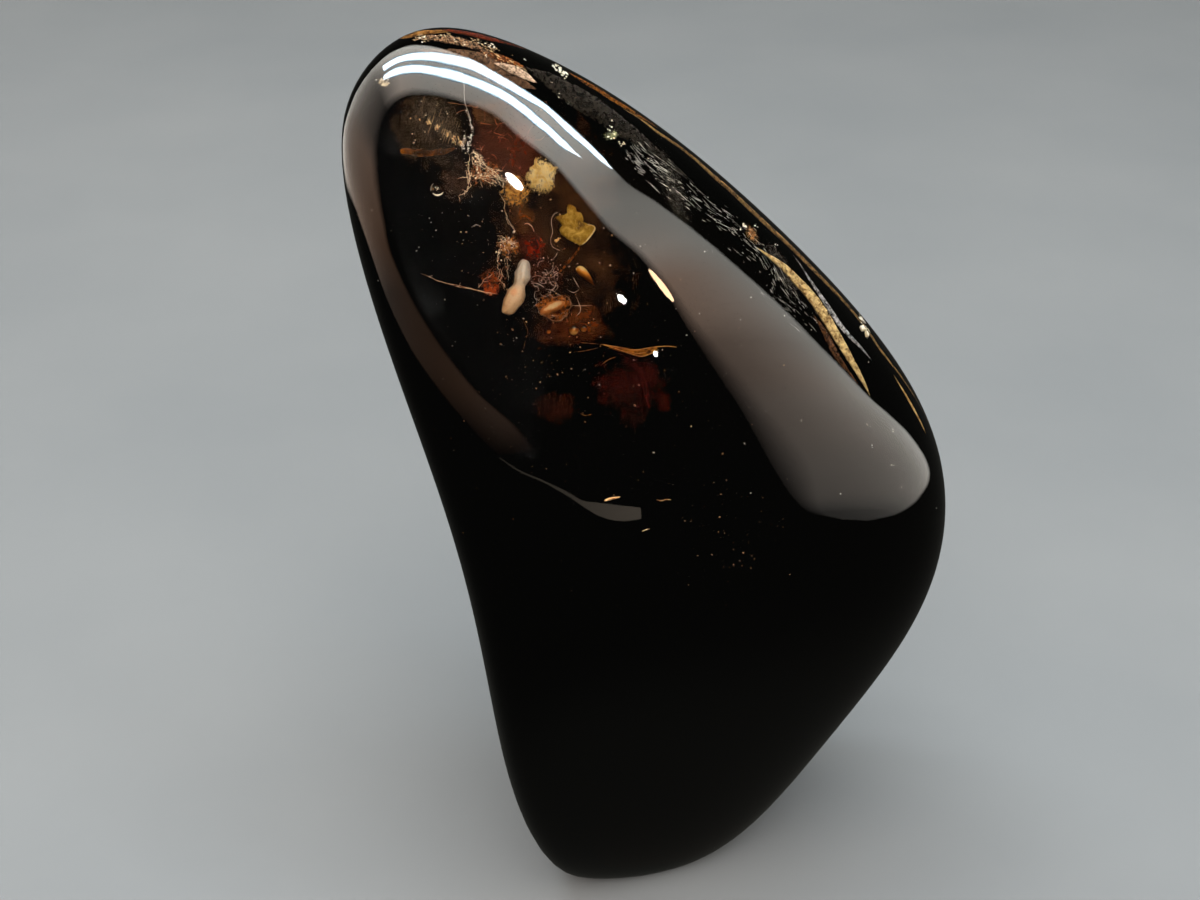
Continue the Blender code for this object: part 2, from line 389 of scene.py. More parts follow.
class Heap:
    """Closed little shapes gathered into one mesh; sizes are in millimetres."""

    def __init__(self):
        self.corners = []
        self.faces = []

    def stack(self, rings, first, last):
        """Rings with the same number of points, closed by two end points."""
        base = len(self.corners)
        sides = len(rings[0])
        self.corners += [first, *(p for ring in rings for p in ring), last]
        end = base + 1 + (len(rings) - 1) * sides
        for s in range(sides):
            after = (s + 1) % sides
            self.faces.append((base, base + 1 + after, base + 1 + s))
            for r in range(len(rings) - 1):
                a = base + 1 + r * sides
                self.faces.append((a + s, a + after, a + sides + after, a + sides + s))
            self.faces.append((end + s, end + after, end + sides))

    def strand(self, path, width, thick=None, front=SEAM_NORMAL, sides=6):
        """A closed strand; width(t) or a number is its full width, thick makes it a ribbon."""
        rings = []
        for i in range(1, len(path) - 1):
            t = i / (len(path) - 1)
            ahead = (path[i + 1] - path[i - 1]).normalized()
            side = front.cross(ahead).normalized()
            up = ahead.cross(side)
            wide = width(t) if callable(width) else width * (4 * t * (1 - t)) ** 0.4
            deep = wide if thick is None else min(thick, wide)
            angles = [2 * math.pi * s / sides for s in range(sides)]
            rings.append([path[i] + side * (math.cos(a) * wide / 2) + up * (math.sin(a) * deep / 2)
                          for a in angles])
        self.stack(rings, path[0], path[-1])

    def film(self, middle, reach, depth, thick, ripple=0.1, place=under_face, rings=7, sides=48):
        """A sheet round a middle; reach(angle) is its outline, ripple lets it swim in depth."""
        def ring(share, layer):
            points = []
            for s in range(sides):
                angle = 2 * math.pi * s / sides
                x = middle[0] + math.cos(angle) * reach(angle) * share
                y = middle[1] + math.sin(angle) * reach(angle) * share
                swim = ripple * noise.noise(Vector((x * 0.9, y * 0.9, depth)))
                fine = ripple * 0.4 * noise.noise(Vector((x * 3.1, y * 3.1, depth + 7.0)))
                points.append(place(x, y, max(FILM_LEAST_DEPTH,
                                              depth + swim + fine + layer * thick / 2)))
            return points

        shares = [(r + 1) / rings for r in range(rings)]
        top = [ring(share, -1.0 + 0.7 * share ** 4) for share in shares]
        foot = [ring(share, 1.0 - 0.7 * share ** 4) for share in reversed(shares)]
        centre = [place(middle[0], middle[1], depth + layer * thick / 2) for layer in (-1, 1)]
        self.stack(top + foot, *centre)

    def grain(self, centre, size, dice, flat=1.0, front=SEAM_NORMAL):
        """A crumb: an uneven ball of twenty faces, pressed thin by flat."""
        turn = Matrix.Rotation(dice.uniform(0, math.tau), 3, front)
        side = turn @ front.orthogonal().normalized()
        up = front.cross(side)
        stretch = dice.uniform(1.0, 1.9)
        rings = []
        for height, radius in ((-0.45, 0.9), (0.45, 0.9)):
            ring = []
            for s in range(5):
                a = math.tau * (s + (0.5 if height > 0 else 0.0)) / 5
                r = radius * size / 2 * dice.uniform(0.75, 1.2)
                ring.append(centre + side * (math.cos(a) * r * stretch) + up * (math.sin(a) * r)
                            + front * (height * size * flat / 2))
            rings.append(ring)
        self.stack(rings, centre - front * size * flat / 2, centre + front * size * flat / 2)

    def turned(self, matrix, size, width_at, curve_at, ruffle, rings=48, sides=36):
        """A body turned along its own Y axis, flatter in Z, its axis curved sideways."""
        length, half_width, flatness = size
        half = length / 2
        stack = []
        for r in range(1, rings):
            t = -math.cos(math.pi * r / rings)
            ring = []
            for s in range(sides):
                a = math.tau * s / sides
                w = half_width * width_at(t) * (1.0 + ruffle(t, a))
                ring.append(matrix @ Vector((w * math.cos(a) + curve_at(t), t * half,
                                             w * flatness * math.sin(a))))
            stack.append(ring)
        ends = [matrix @ Vector((curve_at(t), t * half, 0.0)) for t in (-1, 1)]
        self.stack(stack, *ends)

    def tuck(self):
        """Pushes corners that lie too near the skin, or outside it, back under it."""
        for i, corner in enumerate(self.corners):
            hit, face, _, _ = skin.find_nearest(corner)
            if (corner - hit).dot(face) > -LEAST_DEPTH:
                self.corners[i] = hit - face * LEAST_DEPTH

    def piece(self, name, material, slot, nodes=()):
        """The heap as one smooth object of the part."""
        self.tuck()
        mesh = bpy.data.meshes.new(name)
        mesh.from_pydata([tuple(p * MM) for p in self.corners], [], self.faces)
        form = bmesh.new()
        form.from_mesh(mesh)
        bmesh.ops.recalc_face_normals(form, faces=form.faces[:])
        form.to_mesh(mesh)
        form.free()
        mesh.shade_smooth()
        print(f"{name}: {len(mesh.polygons)} faces")
        return finished_piece(name, mesh, material, nodes)


def round_end(t, power=0.5):
    return max(0.0, 1.0 - t * t) ** power


def smooth_path(points, steps):
    """More points along a soft curve through the given ones."""
    points = [Vector(p) for p in points]
    ends = [2 * points[0] - points[1], *points, 2 * points[-1] - points[-2]]
    path = []
    for a, b, c, d in zip(ends, ends[1:], ends[2:], ends[3:]):
        for i in range(steps):
            t = i / steps
            path.append(0.5 * (2 * b + (c - a) * t + (2 * a - 5 * b + 4 * c - d) * t * t
                               + (3 * b - a - 3 * c + d) * t ** 3))
    path.append(points[-1])
    return path


def seam_place(across, upslope, spin, tilt, lift=0.0):
    """Turns a bit's own axes into the stone's: its Y runs upslope before the spin."""
    axes = Matrix((ACROSS, UPSLOPE, SEAM_NORMAL)).transposed().to_4x4()
    lie = Matrix.Rotation(math.radians(spin), 4, "Z") @ Matrix.Rotation(math.radians(tilt), 4, "X")
    return Matrix.Translation(on_seam(across, upslope, lift)) @ axes @ lie


# %% [markdown]
# ## The pale pellet
# The brightest thing in the stone is a pellet of old resin dust with a waist: a cloudy white
# bead on top of a longer tan one. It is turned like a chair leg, then its skin is ruffled a
# little by noise. One colour runs into the other along its length, and a small orange blotch
# sits where the two beads meet.

# %% Pale pellet
PALE_PLACE = seam_place(0.02, -1.50, -25.0, 6.0, 0.35)
PALE_SIZE = (3.44, 0.55, 0.95)


def pellet_width(t):
    """Two swellings with a waist between them; the lower one is the fuller."""
    waist = 0.34 * math.exp(-((t - 0.12) / 0.21) ** 2)
    return (0.98 - 0.10 * t - waist) * round_end(t, 0.30)


def lumpy(scale, amount, shift=0.0):
    """A ruffle for a turned body: soft lumps of the given share of its width."""
    def ruffle(t, a):
        where = Vector((math.cos(a) * scale, math.sin(a) * scale, t * scale * 2 + shift))
        return amount * noise.noise(where)
    return ruffle


def pale_pellet_finish():
    finish = Finish("pale_pellet")
    foot, head = (PALE_PLACE @ Vector((0, y, 0)) for y in (-1.85, 1.85))
    up = finish.along(foot, head) + (finish.clouds(0.5, detail=3.0) - 0.5) * 0.16
    body = finish.ramp(up, (0.05, (1.0, 0.79, 0.56)), (0.45, (1.0, 0.82, 0.66)),
                       (0.58, (0.80, 0.76, 0.72)), (0.78, (0.70, 0.76, 0.84)))
    mottle = finish.step(finish.clouds(0.30, detail=4.0, warp=0.8), 0.45, 0.72)
    body = finish.blend(mottle * 0.45, body, (1.0, 0.94, 0.84))
    stain = finish.step(finish.clouds(0.42, detail=5.0, warp=1.2), 0.50, 0.70)
    body = finish.blend(stain * 0.35, body, (0.62, 0.40, 0.24))
    blotch = finish.near(PALE_PLACE @ Vector((-0.22, -0.30, 0.55)), 0.12, 0.36)
    body = finish.blend(blotch * 0.6, body, (1.0, 0.56, 0.28))
    # Painted shade: three dark spots darken the pellet where its creases would lie in shade.
    for x, y, reach in ((-0.18, -0.52, 0.16), (0.05, -0.30, 0.12), (-0.34, 0.25, 0.14)):
        crease = finish.near(PALE_PLACE @ Vector((x, y, 0.62)), 0.02, reach)
        body = finish.blend(crease * 0.6, body, (0.30, 0.10, 0.03))
    finish.set(base_color=body, roughness=mottle * 0.2 + 0.35, specular_ior_level=0.4,
               normal=finish.bump(finish.clouds(0.18, detail=3.0), 0.02, 0.5))
    return finish.material


pale_pellet = Heap()
pale_pellet.turned(PALE_PLACE, PALE_SIZE, pellet_width, lambda t: -0.18 * t * t, lumpy(2.6, 0.14))
pale_pellet.piece("pale_pellet_detail", pale_pellet_finish(), "pale_pellet", ("pale_pellet",))

# %% [markdown]
# ## The small pellet in its husk
# Beside it lies a grain like a rice corn with a pale streak, turned in the same way as the
# pale pellet but with rougher lumps. A crumpled orange husk, made next, holds it.

# %% Small pellet
SMALL_PLACE = seam_place(1.95, -2.75, -70.0, 0.0)
SMALL_SIZE = (1.65, 0.30, 0.85)


def small_pellet_finish():
    finish = Finish("small_pellet")
    middle, side, end = (SMALL_PLACE @ Vector(v) for v in ((-0.04, 0.1, 0), (0.13, 0.1, 0),
                                                           (-0.04, 0.75, 0)))
    streak = finish.away(middle, side - middle, end - middle) + (finish.clouds(0.2) - 0.5) * 1.6
    body = finish.ramp(streak, (0.1, (1.0, 0.86, 0.64)), (0.9, (0.92, 0.57, 0.26)),
                       (2.4, (0.74, 0.33, 0.10)))
    finish.set(base_color=body, roughness=finish.clouds(0.2) * 0.2 + 0.4, specular_ior_level=0.3,
               normal=finish.bump(finish.clouds(0.15, detail=3.0), 0.02, 0.5))
    return finish.material


small_pellet = Heap()
small_pellet.turned(SMALL_PLACE, SMALL_SIZE, lambda t: round_end(t) * (1.0 - 0.12 * t),
                    lambda t: 0.05 * t * t, lumpy(2.4, 0.28, 5.0), 30, 26)
small_pellet.piece("small_pellet_detail", small_pellet_finish(), "small_pellet",
                   ("small_pellet",))

# %% [markdown]
# ## Films that break up
# A film in amber is a crack or a scrap of skin thinner than paper. A real one has no thickness
# to speak of, but a sheet with a hole in it would be hard to paint by hand. So a film is a
# smooth closed sheet, and its finish tears it: where a noise runs low, alpha lets the light
# through. Its outline is a few corners joined by straight reaches, roughened by finer noise.
# The husk of the small pellet is the first of them: a ragged sheet a little deeper than the
# grain, with a scalloped rim.

# %% Films and their finish
def patchy_finish(name, dark, light, size, cover, thinnest=0.0, thickest=1.0, glint=0.0,
                  oval=None, stretch=None):
    """A see-through film: two colours in patches, and holes where the noise is low.

    Inside an oval it is whole, and it breaks up towards the oval's rim. A film of large
    patches is smooth, and one of small patches is crumbly.
    """
    finish = Finish(name)
    crumble, soft = (5.0, 0.12) if size < 0.7 else (2.0, 0.25)
    patches = finish.clouds(size, detail=crumble, warp=0.7, stretch=stretch)
    colour = finish.ramp(patches, (0.35, dark), (0.65, light))
    holes = finish.clouds(size * 0.7, detail=crumble, warp=1.2, rough=0.6, stretch=stretch)
    if oval:
        holes = holes - finish.away(*oval) * 0.42
    middle = 0.62 - cover * 0.35
    alpha = finish.step(holes, middle - soft, middle + soft, thinnest, thickest)
    finish.set(base_color=colour, alpha=alpha, roughness=patches * 0.3 + 0.35,
               specular_ior_level=0.15, metallic=finish.step(holes, 0.4, 0.7) * glint,
               normal=finish.bump(finish.clouds(size * 0.3, detail=4.0), 0.03, 0.5))
    return finish.material


def outline(points, ragged, seed):
    """The middle of some outline points, and the reach of a smooth ragged line through them."""
    middle = [sum(p[k] for p in points) / len(points) for k in (0, 1)]
    spokes = sorted((math.atan2(y - middle[1], x - middle[0]),
                     math.hypot(x - middle[0], y - middle[1])) for x, y in points)
    spokes = [(spokes[-1][0] - math.tau, spokes[-1][1]), *spokes,
              (spokes[0][0] + math.tau, spokes[0][1])]

    def reach(angle):
        angle = (angle + math.pi) % math.tau - math.pi
        for (a0, r0), (a1, r1) in zip(spokes, spokes[1:]):
            if angle <= a1:
                share = (angle - a0) / (a1 - a0)
                rag = noise.noise(Vector((math.cos(angle) * 4, math.sin(angle) * 4, seed)))
                fine = noise.noise(Vector((math.cos(angle) * 11, math.sin(angle) * 11, seed + 3)))
                return (r0 + (r1 - r0) * share) * (1 + ragged * (rag + 0.7 * fine))
        return r1
    return middle, reach


FILM_THICK = 0.05
FILM_RAGGED = 0.14               # how far the rim strays, as a share of its reach
FILM_GLINT = 0.25


def film_piece(name, rim, depth, colours, size, cover, thickest, place=under_face, ripple=0.25,
               stretch=None):
    """A film with a finish of its own, which thins out towards its rim."""
    middle, reach = outline(rim, FILM_RAGGED, depth)
    half = [(max(p[k] for p in rim) - min(p[k] for p in rim)) / 2 for k in (0, 1)]
    x, y = middle
    right = (place(x + half[0], y, depth) - place(x - half[0], y, depth)) / 2
    up = (place(x, y + half[1], depth) - place(x, y - half[1], depth)) / 2
    film = Heap()
    film.film(middle, reach, depth, FILM_THICK, ripple, place)
    finish = patchy_finish(name, *colours, size, cover, 0.0, thickest, FILM_GLINT,
                           (place(x, y, depth), right, up), stretch)
    film.piece(name, finish, "amber")


# %% Husk of the small pellet
HUSK_RIM = ((1.14, -2.34), (1.33, -2.13), (1.75, -1.98), (2.32, -2.11), (2.90, -2.14), (3.07, -2.47),
            (2.94, -2.92), (2.73, -3.31), (2.19, -3.53), (1.63, -3.35), (1.19, -3.09), (1.05, -2.74))
husk = Heap()
husk.film(*outline(HUSK_RIM, 0.30, 2.0), 2.9, 0.10, 0.25)
husk.piece("husk", patchy_finish("husk", (0.18, 0.04, 0.006), (1.0, 0.40, 0.07), 0.28, 0.40,
                                 0.0, 0.95), "small_pellet")

# %% [markdown]
# ## Two flakes
# Above the pellets float two scraps of yellow tissue. The upper one is as ragged and mottled as
# a dry leaf, and it thins out to nothing at its rim. The lower one is torn into points, with a
# bright golden edge on its right. Each outline is a few corners, joined by a ragged soft line.

# %% Flakes
UPPER_FLAKE = ((-0.26, 1.09), (0.08, 1.15), (0.48, 0.87), (0.87, 0.52), (1.19, 0.21), (0.99, -0.07),
               (0.72, -0.31), (0.64, -0.72), (0.44, -1.04), (0.04, -1.23), (-0.37, -1.08),
               (-0.69, -0.89), (-1.02, -0.79), (-1.15, -0.36), (-0.94, 0.13), (-0.66, 0.44),
               (-0.46, 0.76))
LOWER_FLAKE = ((-0.25, 1.42), (-0.06, 1.30), (0.13, 1.15), (0.18, 0.89), (0.45, 0.79), (0.51, 0.55),
               (0.51, 0.24), (0.84, 0.05), (1.20, -0.09), (1.13, -0.32), (0.90, -0.59), (0.71, -0.81),
               (0.48, -1.05), (0.24, -1.23), (-0.01, -1.07), (-0.23, -0.94), (-0.48, -0.78),
               (-0.64, -0.60), (-0.88, -0.36), (-0.96, -0.12), (-0.77, 0.15), (-0.90, 0.39),
               (-1.16, 0.66), (-0.89, 0.73), (-0.60, 0.74), (-0.39, 0.87), (-0.39, 1.16))


FLAKE_THICK = 0.22


def flake(name, place, corners, ragged, cup, material):
    """A flake on the seam, cupped a little; its rim is thinner than its middle."""
    def spot(x, y, depth):
        return place @ Vector((x, y, cup * (x * x - y * y) - depth + 1.0))

    heap = Heap()
    middle, reach = outline(corners, ragged, 4.0)
    heap.film(middle, reach, 1.0, FLAKE_THICK, 0.10, spot, 8, 144)
    heap.piece(name + "_detail", material, name, (name,))


def leafy_finish(name, place, colours, grain, rim):
    """Mottled tissue with fibres along its grain; rim is where it thins out, as a share."""
    dark, middle, light = colours
    finish = Finish(name)
    patches = finish.clouds(0.55, detail=6.0, warp=0.8)
    colour = finish.ramp(patches, (0.30, dark), (0.48, middle), (0.68, light))
    fibres = finish.clouds(0.14, detail=4.0, warp=0.6, stretch=grain)
    colour = finish.blend(finish.step(fibres, 0.45, 0.75) * 0.5, colour, light)
    centre, side, end = (place @ Vector(v) for v in ((0, 0, 0), (1.1, 0, 0), (0, 1.15, 0)))
    torn = (fibres - 0.5) * 1.4 + (patches - 0.5) * 2.2
    ragged = finish.away(centre, side - centre, end - centre) + torn
    alpha = finish.step(ragged, rim, rim + 0.55, 1.0, 0.0)
    finish.set(base_color=colour, roughness=patches * 0.3 + 0.4, specular_ior_level=0.3,
               alpha=alpha, normal=finish.bump(fibres + patches, 0.03, 0.6))
    return finish.material


UPPER_PLACE = seam_place(2.00, 5.05, 0.0, 10.0, 0.35)
LOWER_PLACE = seam_place(3.75, 1.95, 0.0, -10.0)
flake("upper_flake", UPPER_PLACE, UPPER_FLAKE, 0.13, 0.06,
      leafy_finish("upper_flake", UPPER_PLACE, ((0.66, 0.50, 0.17), (0.94, 0.82, 0.36),
                                                (1.0, 1.0, 0.78)), (1.6, 0.5, 0.8), 0.36))
flake("lower_flake", LOWER_PLACE, LOWER_FLAKE, 0.02, -0.05,
      leafy_finish("lower_flake", LOWER_PLACE, ((0.14, 0.08, 0.006), (0.42, 0.29, 0.02),
                                                (0.78, 0.64, 0.16)), (1.4, 0.6, 0.8), 1.0))
FLAKE_RIM = ((4.45, 1.98), (4.82, 1.86), (4.88, 1.66), (4.66, 1.36), (4.44, 1.12), (4.22, 0.92),
             (4.02, 0.80))
flake_rim = Heap()
for lift, width in ((0.60, 0.09), (0.66, 0.05)):
    rim_line = [Vector((x, y, lift)) for x, y in FLAKE_RIM]
    flake_rim.strand([on_seam(*p) for p in smooth_path(rim_line, 6)], width, 0.04)


# %% [markdown]
# ## A sliver of bark and a dark drop
# The sliver is a short orange splinter, blunt on its left where it broke and worn thin on its
# right, with grain along it. The drop is a bead of older, darker resin, which the younger amber
# hugs. Its colour is painted darker towards the lower left, and its upper edge is a painted
# highlight: a golden crescent.

# %% Bark sliver and droplet
BARK_PLACE = seam_place(-4.52, 6.86, 88.0, 0.0)
BARK_SIZE = (3.05, 0.23, 0.60)
DROP_PLACE = seam_place(4.14, -1.04, 30.0, 4.0)
DROP_SIZE = (1.50, 0.36, 0.90)


def fibrous(t, a):
    coarse = 0.16 * noise.noise(Vector((2 * math.cos(a), 9 * t, 1.0)))
    return 0.06 * math.sin(5 * a + 3 * t) + coarse + 0.16 * noise.noise(Vector((a, 30 * t, 4.0)))


def bark_finish():
    finish = Finish("bark_sliver")
    right, left = (BARK_PLACE @ Vector((0, y, 0)) for y in (-1.6, 1.6))
    length = finish.along(left, right) + (finish.clouds(0.35) - 0.5) * 0.35
    colour = finish.ramp(length, (0.05, (0.95, 0.40, 0.03)), (0.4, (0.80, 0.24, 0.01)),
                         (0.8, (0.84, 0.26, 0.025)), (1.0, (0.74, 0.26, 0.06)))
    rungs = finish.step(finish.clouds(0.10, detail=2.0, stretch=(4.0, 0.6, 0.6)), 0.35, 0.7)
    colour = finish.blend(rungs * 0.4, colour, (0.30, 0.07, 0.01))
    finish.set(base_color=colour, roughness=rungs * 0.2 + 0.5, specular_ior_level=0.2,
               normal=finish.bump(rungs, 0.03, 0.6))
    return finish.material


def droplet_finish():
    finish = Finish("droplet")
    low, high = (DROP_PLACE @ Vector((x, y, 0)) for x, y in ((-0.34, -0.22), (0.36, 0.20)))
    toward_lit_edge = finish.along(low, high) + (finish.clouds(0.3) - 0.5) * 0.2
    # Painted highlight and shade: a lit golden crescent towards the upper right, darker towards the lower
    # left.
    colour = finish.ramp(toward_lit_edge, (0.30, (0.09, 0.032, 0.007)), (0.50, (0.42, 0.15, 0.02)),
                         (0.68, (1.0, 0.46, 0.04)), (0.86, (1.0, 0.90, 0.44)))
    finish.set(base_color=colour, roughness=finish.clouds(0.2) * 0.1 + 0.1, coat_weight=1.0,
               normal=finish.bump(finish.clouds(0.3), 0.01, 0.3))
    return finish.material


bark = Heap()
bark.turned(BARK_PLACE, BARK_SIZE,
            lambda t: round_end(t, 0.3) * (0.86 + 0.14 * t + 0.12 * math.sin(9 * t)),
            lambda t: 0.19 * t * t + 0.02 * math.sin(11 * t), fibrous, 80, 24)
bark.piece("bark_sliver_detail", bark_finish(), "bark_sliver", ("bark_sliver",))
drop = Heap()
drop.turned(DROP_PLACE, DROP_SIZE, lambda t: round_end(t) * (0.62 + 0.42 * t) * 1.08,
            lambda t: -0.10 * t, lumpy(1.0, 0.05, 9.0), 32, 28)
drop.piece("droplet_detail", droplet_finish(), "droplet", ("droplet",))

# %% [markdown]
# ## Veins that wander
# A crack in amber isn't a clean cut. It jumps from weak spot to weak spot, so its path is made
# by halving: each stretch is cut in two and its middle pushed aside, again and again. Twigs
# leave it at random. A fixed seed gives the same cracks each time.

# %% Jagged paths
SHALLOWEST = 0.22


def jagged(stops, wiggle, halvings, dice):
    """Halves each stretch again and again, and pushes each new middle aside."""
    path = [Vector(p) for p in stops]
    for _ in range(halvings):
        finer = [path[0]]
        for a, b in zip(path, path[1:]):
            push = Vector([dice.uniform(-1, 1) for _ in range(3)]) * (b - a).length * wiggle
            finer += [(a + b) / 2 + push, b]
        path = finer
    return path


def in_stone(path):
    """Places of a path told as across, upslope and depth."""
    return [under_face(x, y, max(SHALLOWEST, depth)) for x, y, depth in path]


def vein(heap, stops, depth, width, dice, twigs=0, twig=0.8, wiggle=0.2, halvings=3):
    """A jagged strand through some stops, with twigs of about the given length."""
    path = jagged([(x, y, depth) for x, y in stops], wiggle, halvings, dice)
    heap.strand(in_stone(path), width)
    for _ in range(twigs):
        i = dice.randrange(1, len(path) - 1)
        ahead = (path[i + 1] - path[i - 1]).normalized()
        turn = Matrix.Rotation(dice.choice((-1, 1)) * dice.uniform(0.3, 1.4), 3, "Z")
        tip = path[i] + turn @ ahead * dice.uniform(0.35, 1.0) * twig
        heap.strand(in_stone(jagged([path[i], tip], wiggle, 3, dice)), width * 0.6)


print("lines are kept", SHALLOWEST, "mm or more under the skin")


def bright_finish(name, low, high, size, metallic, roughness):
    """Glinting matter: two bright colours in patches, part metal where air shows."""
    finish = Finish(name)
    patches = finish.clouds(size, detail=5.0, warp=0.5)
    colour = finish.ramp(patches, (0.35, low), (0.62, high))
    finish.set(base_color=colour, metallic=finish.step(patches, 0.4, 0.6) * metallic,
               roughness=patches * 0.2 + roughness,
               normal=finish.bump(finish.clouds(size * 0.4, detail=3.0), 0.02, 0.6))
    return finish.material


flake_rim.piece("flake_rim", bright_finish("flake_rim", (0.90, 0.66, 0.16), (1.0, 1.0, 0.74),
                                           0.3, 0.0, 0.3), "lower_flake")

# %% [markdown]
# ## The main crack
# A white crack comes down from the crown and splits into two chains of bright grains. It is one
# thin vein through seven stops, with grains strewn along it and along both chains.

# %% The main crack
CRACK_SEED = 11
MAIN_CRACK = ((-2.20, 10.82), (-2.16, 10.30), (-2.22, 9.71), (-2.16, 9.11), (-2.04, 8.60),
              (-1.97, 8.01), (-1.87, 7.76))
CHAIN_RIGHT = ((-1.87, 7.78), (-2.02, 7.45), (-2.13, 7.12), (-2.25, 6.80), (-2.32, 6.38))
CHAIN_LEFT = ((-2.39, 7.47), (-2.51, 7.06), (-2.59, 6.65))
dice = random.Random(CRACK_SEED)
main_crack = Heap()
vein(main_crack, MAIN_CRACK, 0.3, 0.016, dice, 4, 0.12, 0.08, 4)
vein(main_crack, ((-2.22, 11.6), *MAIN_CRACK[:4]), 0.12, 0.012, dice, 0, 0.12, 0.05, 4)
for chain, count in ((MAIN_CRACK[3:], 10), (CHAIN_RIGHT, 26), (CHAIN_LEFT, 18)):
    vein(main_crack, chain, 0.5, 0.016, dice, 5, 0.28, 0.3, 3)
    for _ in range(count):
        i = dice.randrange(len(chain) - 1)
        share = dice.random()
        x, y = (chain[i][k] * (1 - share) + chain[i + 1][k] * share for k in (0, 1))
        spot = under_face(x + dice.gauss(0, 0.05), y, 0.45 + dice.uniform(-0.2, 0.2))
        main_crack.grain(spot, dice.uniform(0.03, 0.11), dice)
main_crack.piece("main_crack", bright_finish("white_crack", (0.20, 0.13, 0.08), (1.0, 1.0, 0.96),
                                             0.10, 0.0, 0.25), "amber")

# %% [markdown]
# ## The web of gold and rosy veins
# Under the crack the veins fan out into a web of gold threads, with rosy ones deeper down. The
# main threads go through stops of their own. Between them stand thickets of short threads, told
# by their middle, their spread and the way they lean.

# %% The web of gold and rosy veins
WEB_VEINS = (                    # stops, width, twigs, twig length
    (((-2.32, 6.4), (-2.35, 5.6), (-2.33, 5.0), (-2.29, 4.5), (-2.57, 4.16), (-3.08, 3.86)), .05, 8, .35),
    (((-2.32, 5.6), (-2.5, 5.0), (-2.45, 4.5), (-2.75, 4.1)), .035, 5, .3),
    (((-2.02, 6.62), (-1.74, 6.02), (-1.46, 5.43)), .06, 8, .45),
    (((-1.85, 6.5), (-1.5, 5.9), (-1.2, 5.35)), .045, 6, .4),
    (((-3.07, 4.93), (-2.32, 5.06), (-1.50, 5.06)), .045, 5, .35),
    (((-1.55, 5.43), (-0.98, 5.32), (-0.48, 5.30)), .065, 8, .3),
    (((-1.67, 4.94), (-1.04, 4.58)), .055, 5, .3),
    (((-0.98, 5.32), (-0.60, 4.89), (-0.40, 4.38)), .05, 6, .3),
    (((-0.66, 4.17), (-0.47, 3.58), (-0.51, 3.08), (-0.38, 2.66), (-0.19, 2.07), (0.02, 1.56)),
     .03, 4, .2),
    (((-0.87, 1.24), (-0.43, 1.10), (-0.05, 0.91)), .05, 6, .3),
    (((-1.1, 1.5), (-0.6, 1.35), (-0.2, 1.1), (0.2, 1.0)), .035, 5, .35),
    (((-0.7, 1.2), (-1.0, 0.5), (-1.2, -0.3), (-1.2, -1.0), (-0.9, -1.7)), .028, 5, .3),
    (((-0.6, 0.9), (-0.5, 0.2), (-0.7, -0.6), (-0.6, -1.2)), .025, 4, .3),
)
THICKETS = (                     # middle, spread, heading, how many, length
    ((-1.80, 6.1), (0.16, 0.34), -1.1, 30, 0.55),
    ((-1.25, 5.1), (0.34, 0.16), -0.4, 34, 0.42),
    ((-0.85, 4.8), (0.30, 0.22), -0.7, 16, 0.40),
    ((-2.35, 5.2), (0.10, 0.55), -1.6, 12, 0.35),
    ((-0.55, 1.1), (0.38, 0.22), -0.3, 16, 0.40),
    ((-0.95, 0.1), (0.22, 0.65), -1.6, 14, 0.42),
)
web, dark_web = Heap(), Heap()
for stops, width, twigs, twig in WEB_VEINS:
    vein(web, stops, dice.uniform(0.3, 0.6), width * 0.5, dice, twigs, twig)
for (x, y), (wide, high), heading, count, length in THICKETS:
    for i in range(count):
        start = Vector((dice.gauss(x, wide), dice.gauss(y, high)))
        turn = dice.gauss(heading, 0.45)
        tip = start + Vector((math.cos(turn), math.sin(turn))) * length * dice.uniform(0.3, 1.3)
        if i % 4:
            vein(web, (start, tip), dice.uniform(0.25, 0.6), dice.uniform(0.010, 0.024), dice, 0, 0.2, 0.12)
        else:
            vein(dark_web, (start, tip), dice.uniform(1.0, 1.6), dice.uniform(0.02, 0.05), dice,
                 1, 0.2, 0.2)
    for _ in range(count):
        spot = under_face(dice.gauss(x, wide), dice.gauss(y, high), dice.uniform(0.2, 0.4))
        web.grain(spot, 0.03 + 0.09 * dice.random() ** 3, dice)
web.piece("crack_web", bright_finish("gold_vein", (0.30, 0.07, 0.01), (1.0, 0.92, 0.66),
                                     0.10, 0.0, 0.3), "amber")
dark_web.piece("dark_web", bright_finish("rosy_vein", (0.06, 0.015, 0.006), (0.60, 0.25, 0.10),
                                         0.25, 0.3, 0.35), "amber")

# %% [markdown]
# ## Films, slivers and the red glow
# Where a crack lies flat it is a film, and it glows in the colour of the light that comes back
# through the amber: gold near the skin, red deeper down. A big smoky red film lies right of the
# crack, a gold one under it, a red-orange one over the pellet. Lower right, a gold sliver shaped
# like a bent leaf has a deep crimson feather below it. Two broad dim smokes lie behind them
# all, so the amber between the films isn't plain black. Each film thins out towards its rim,
# so none of them ends in a hard line.

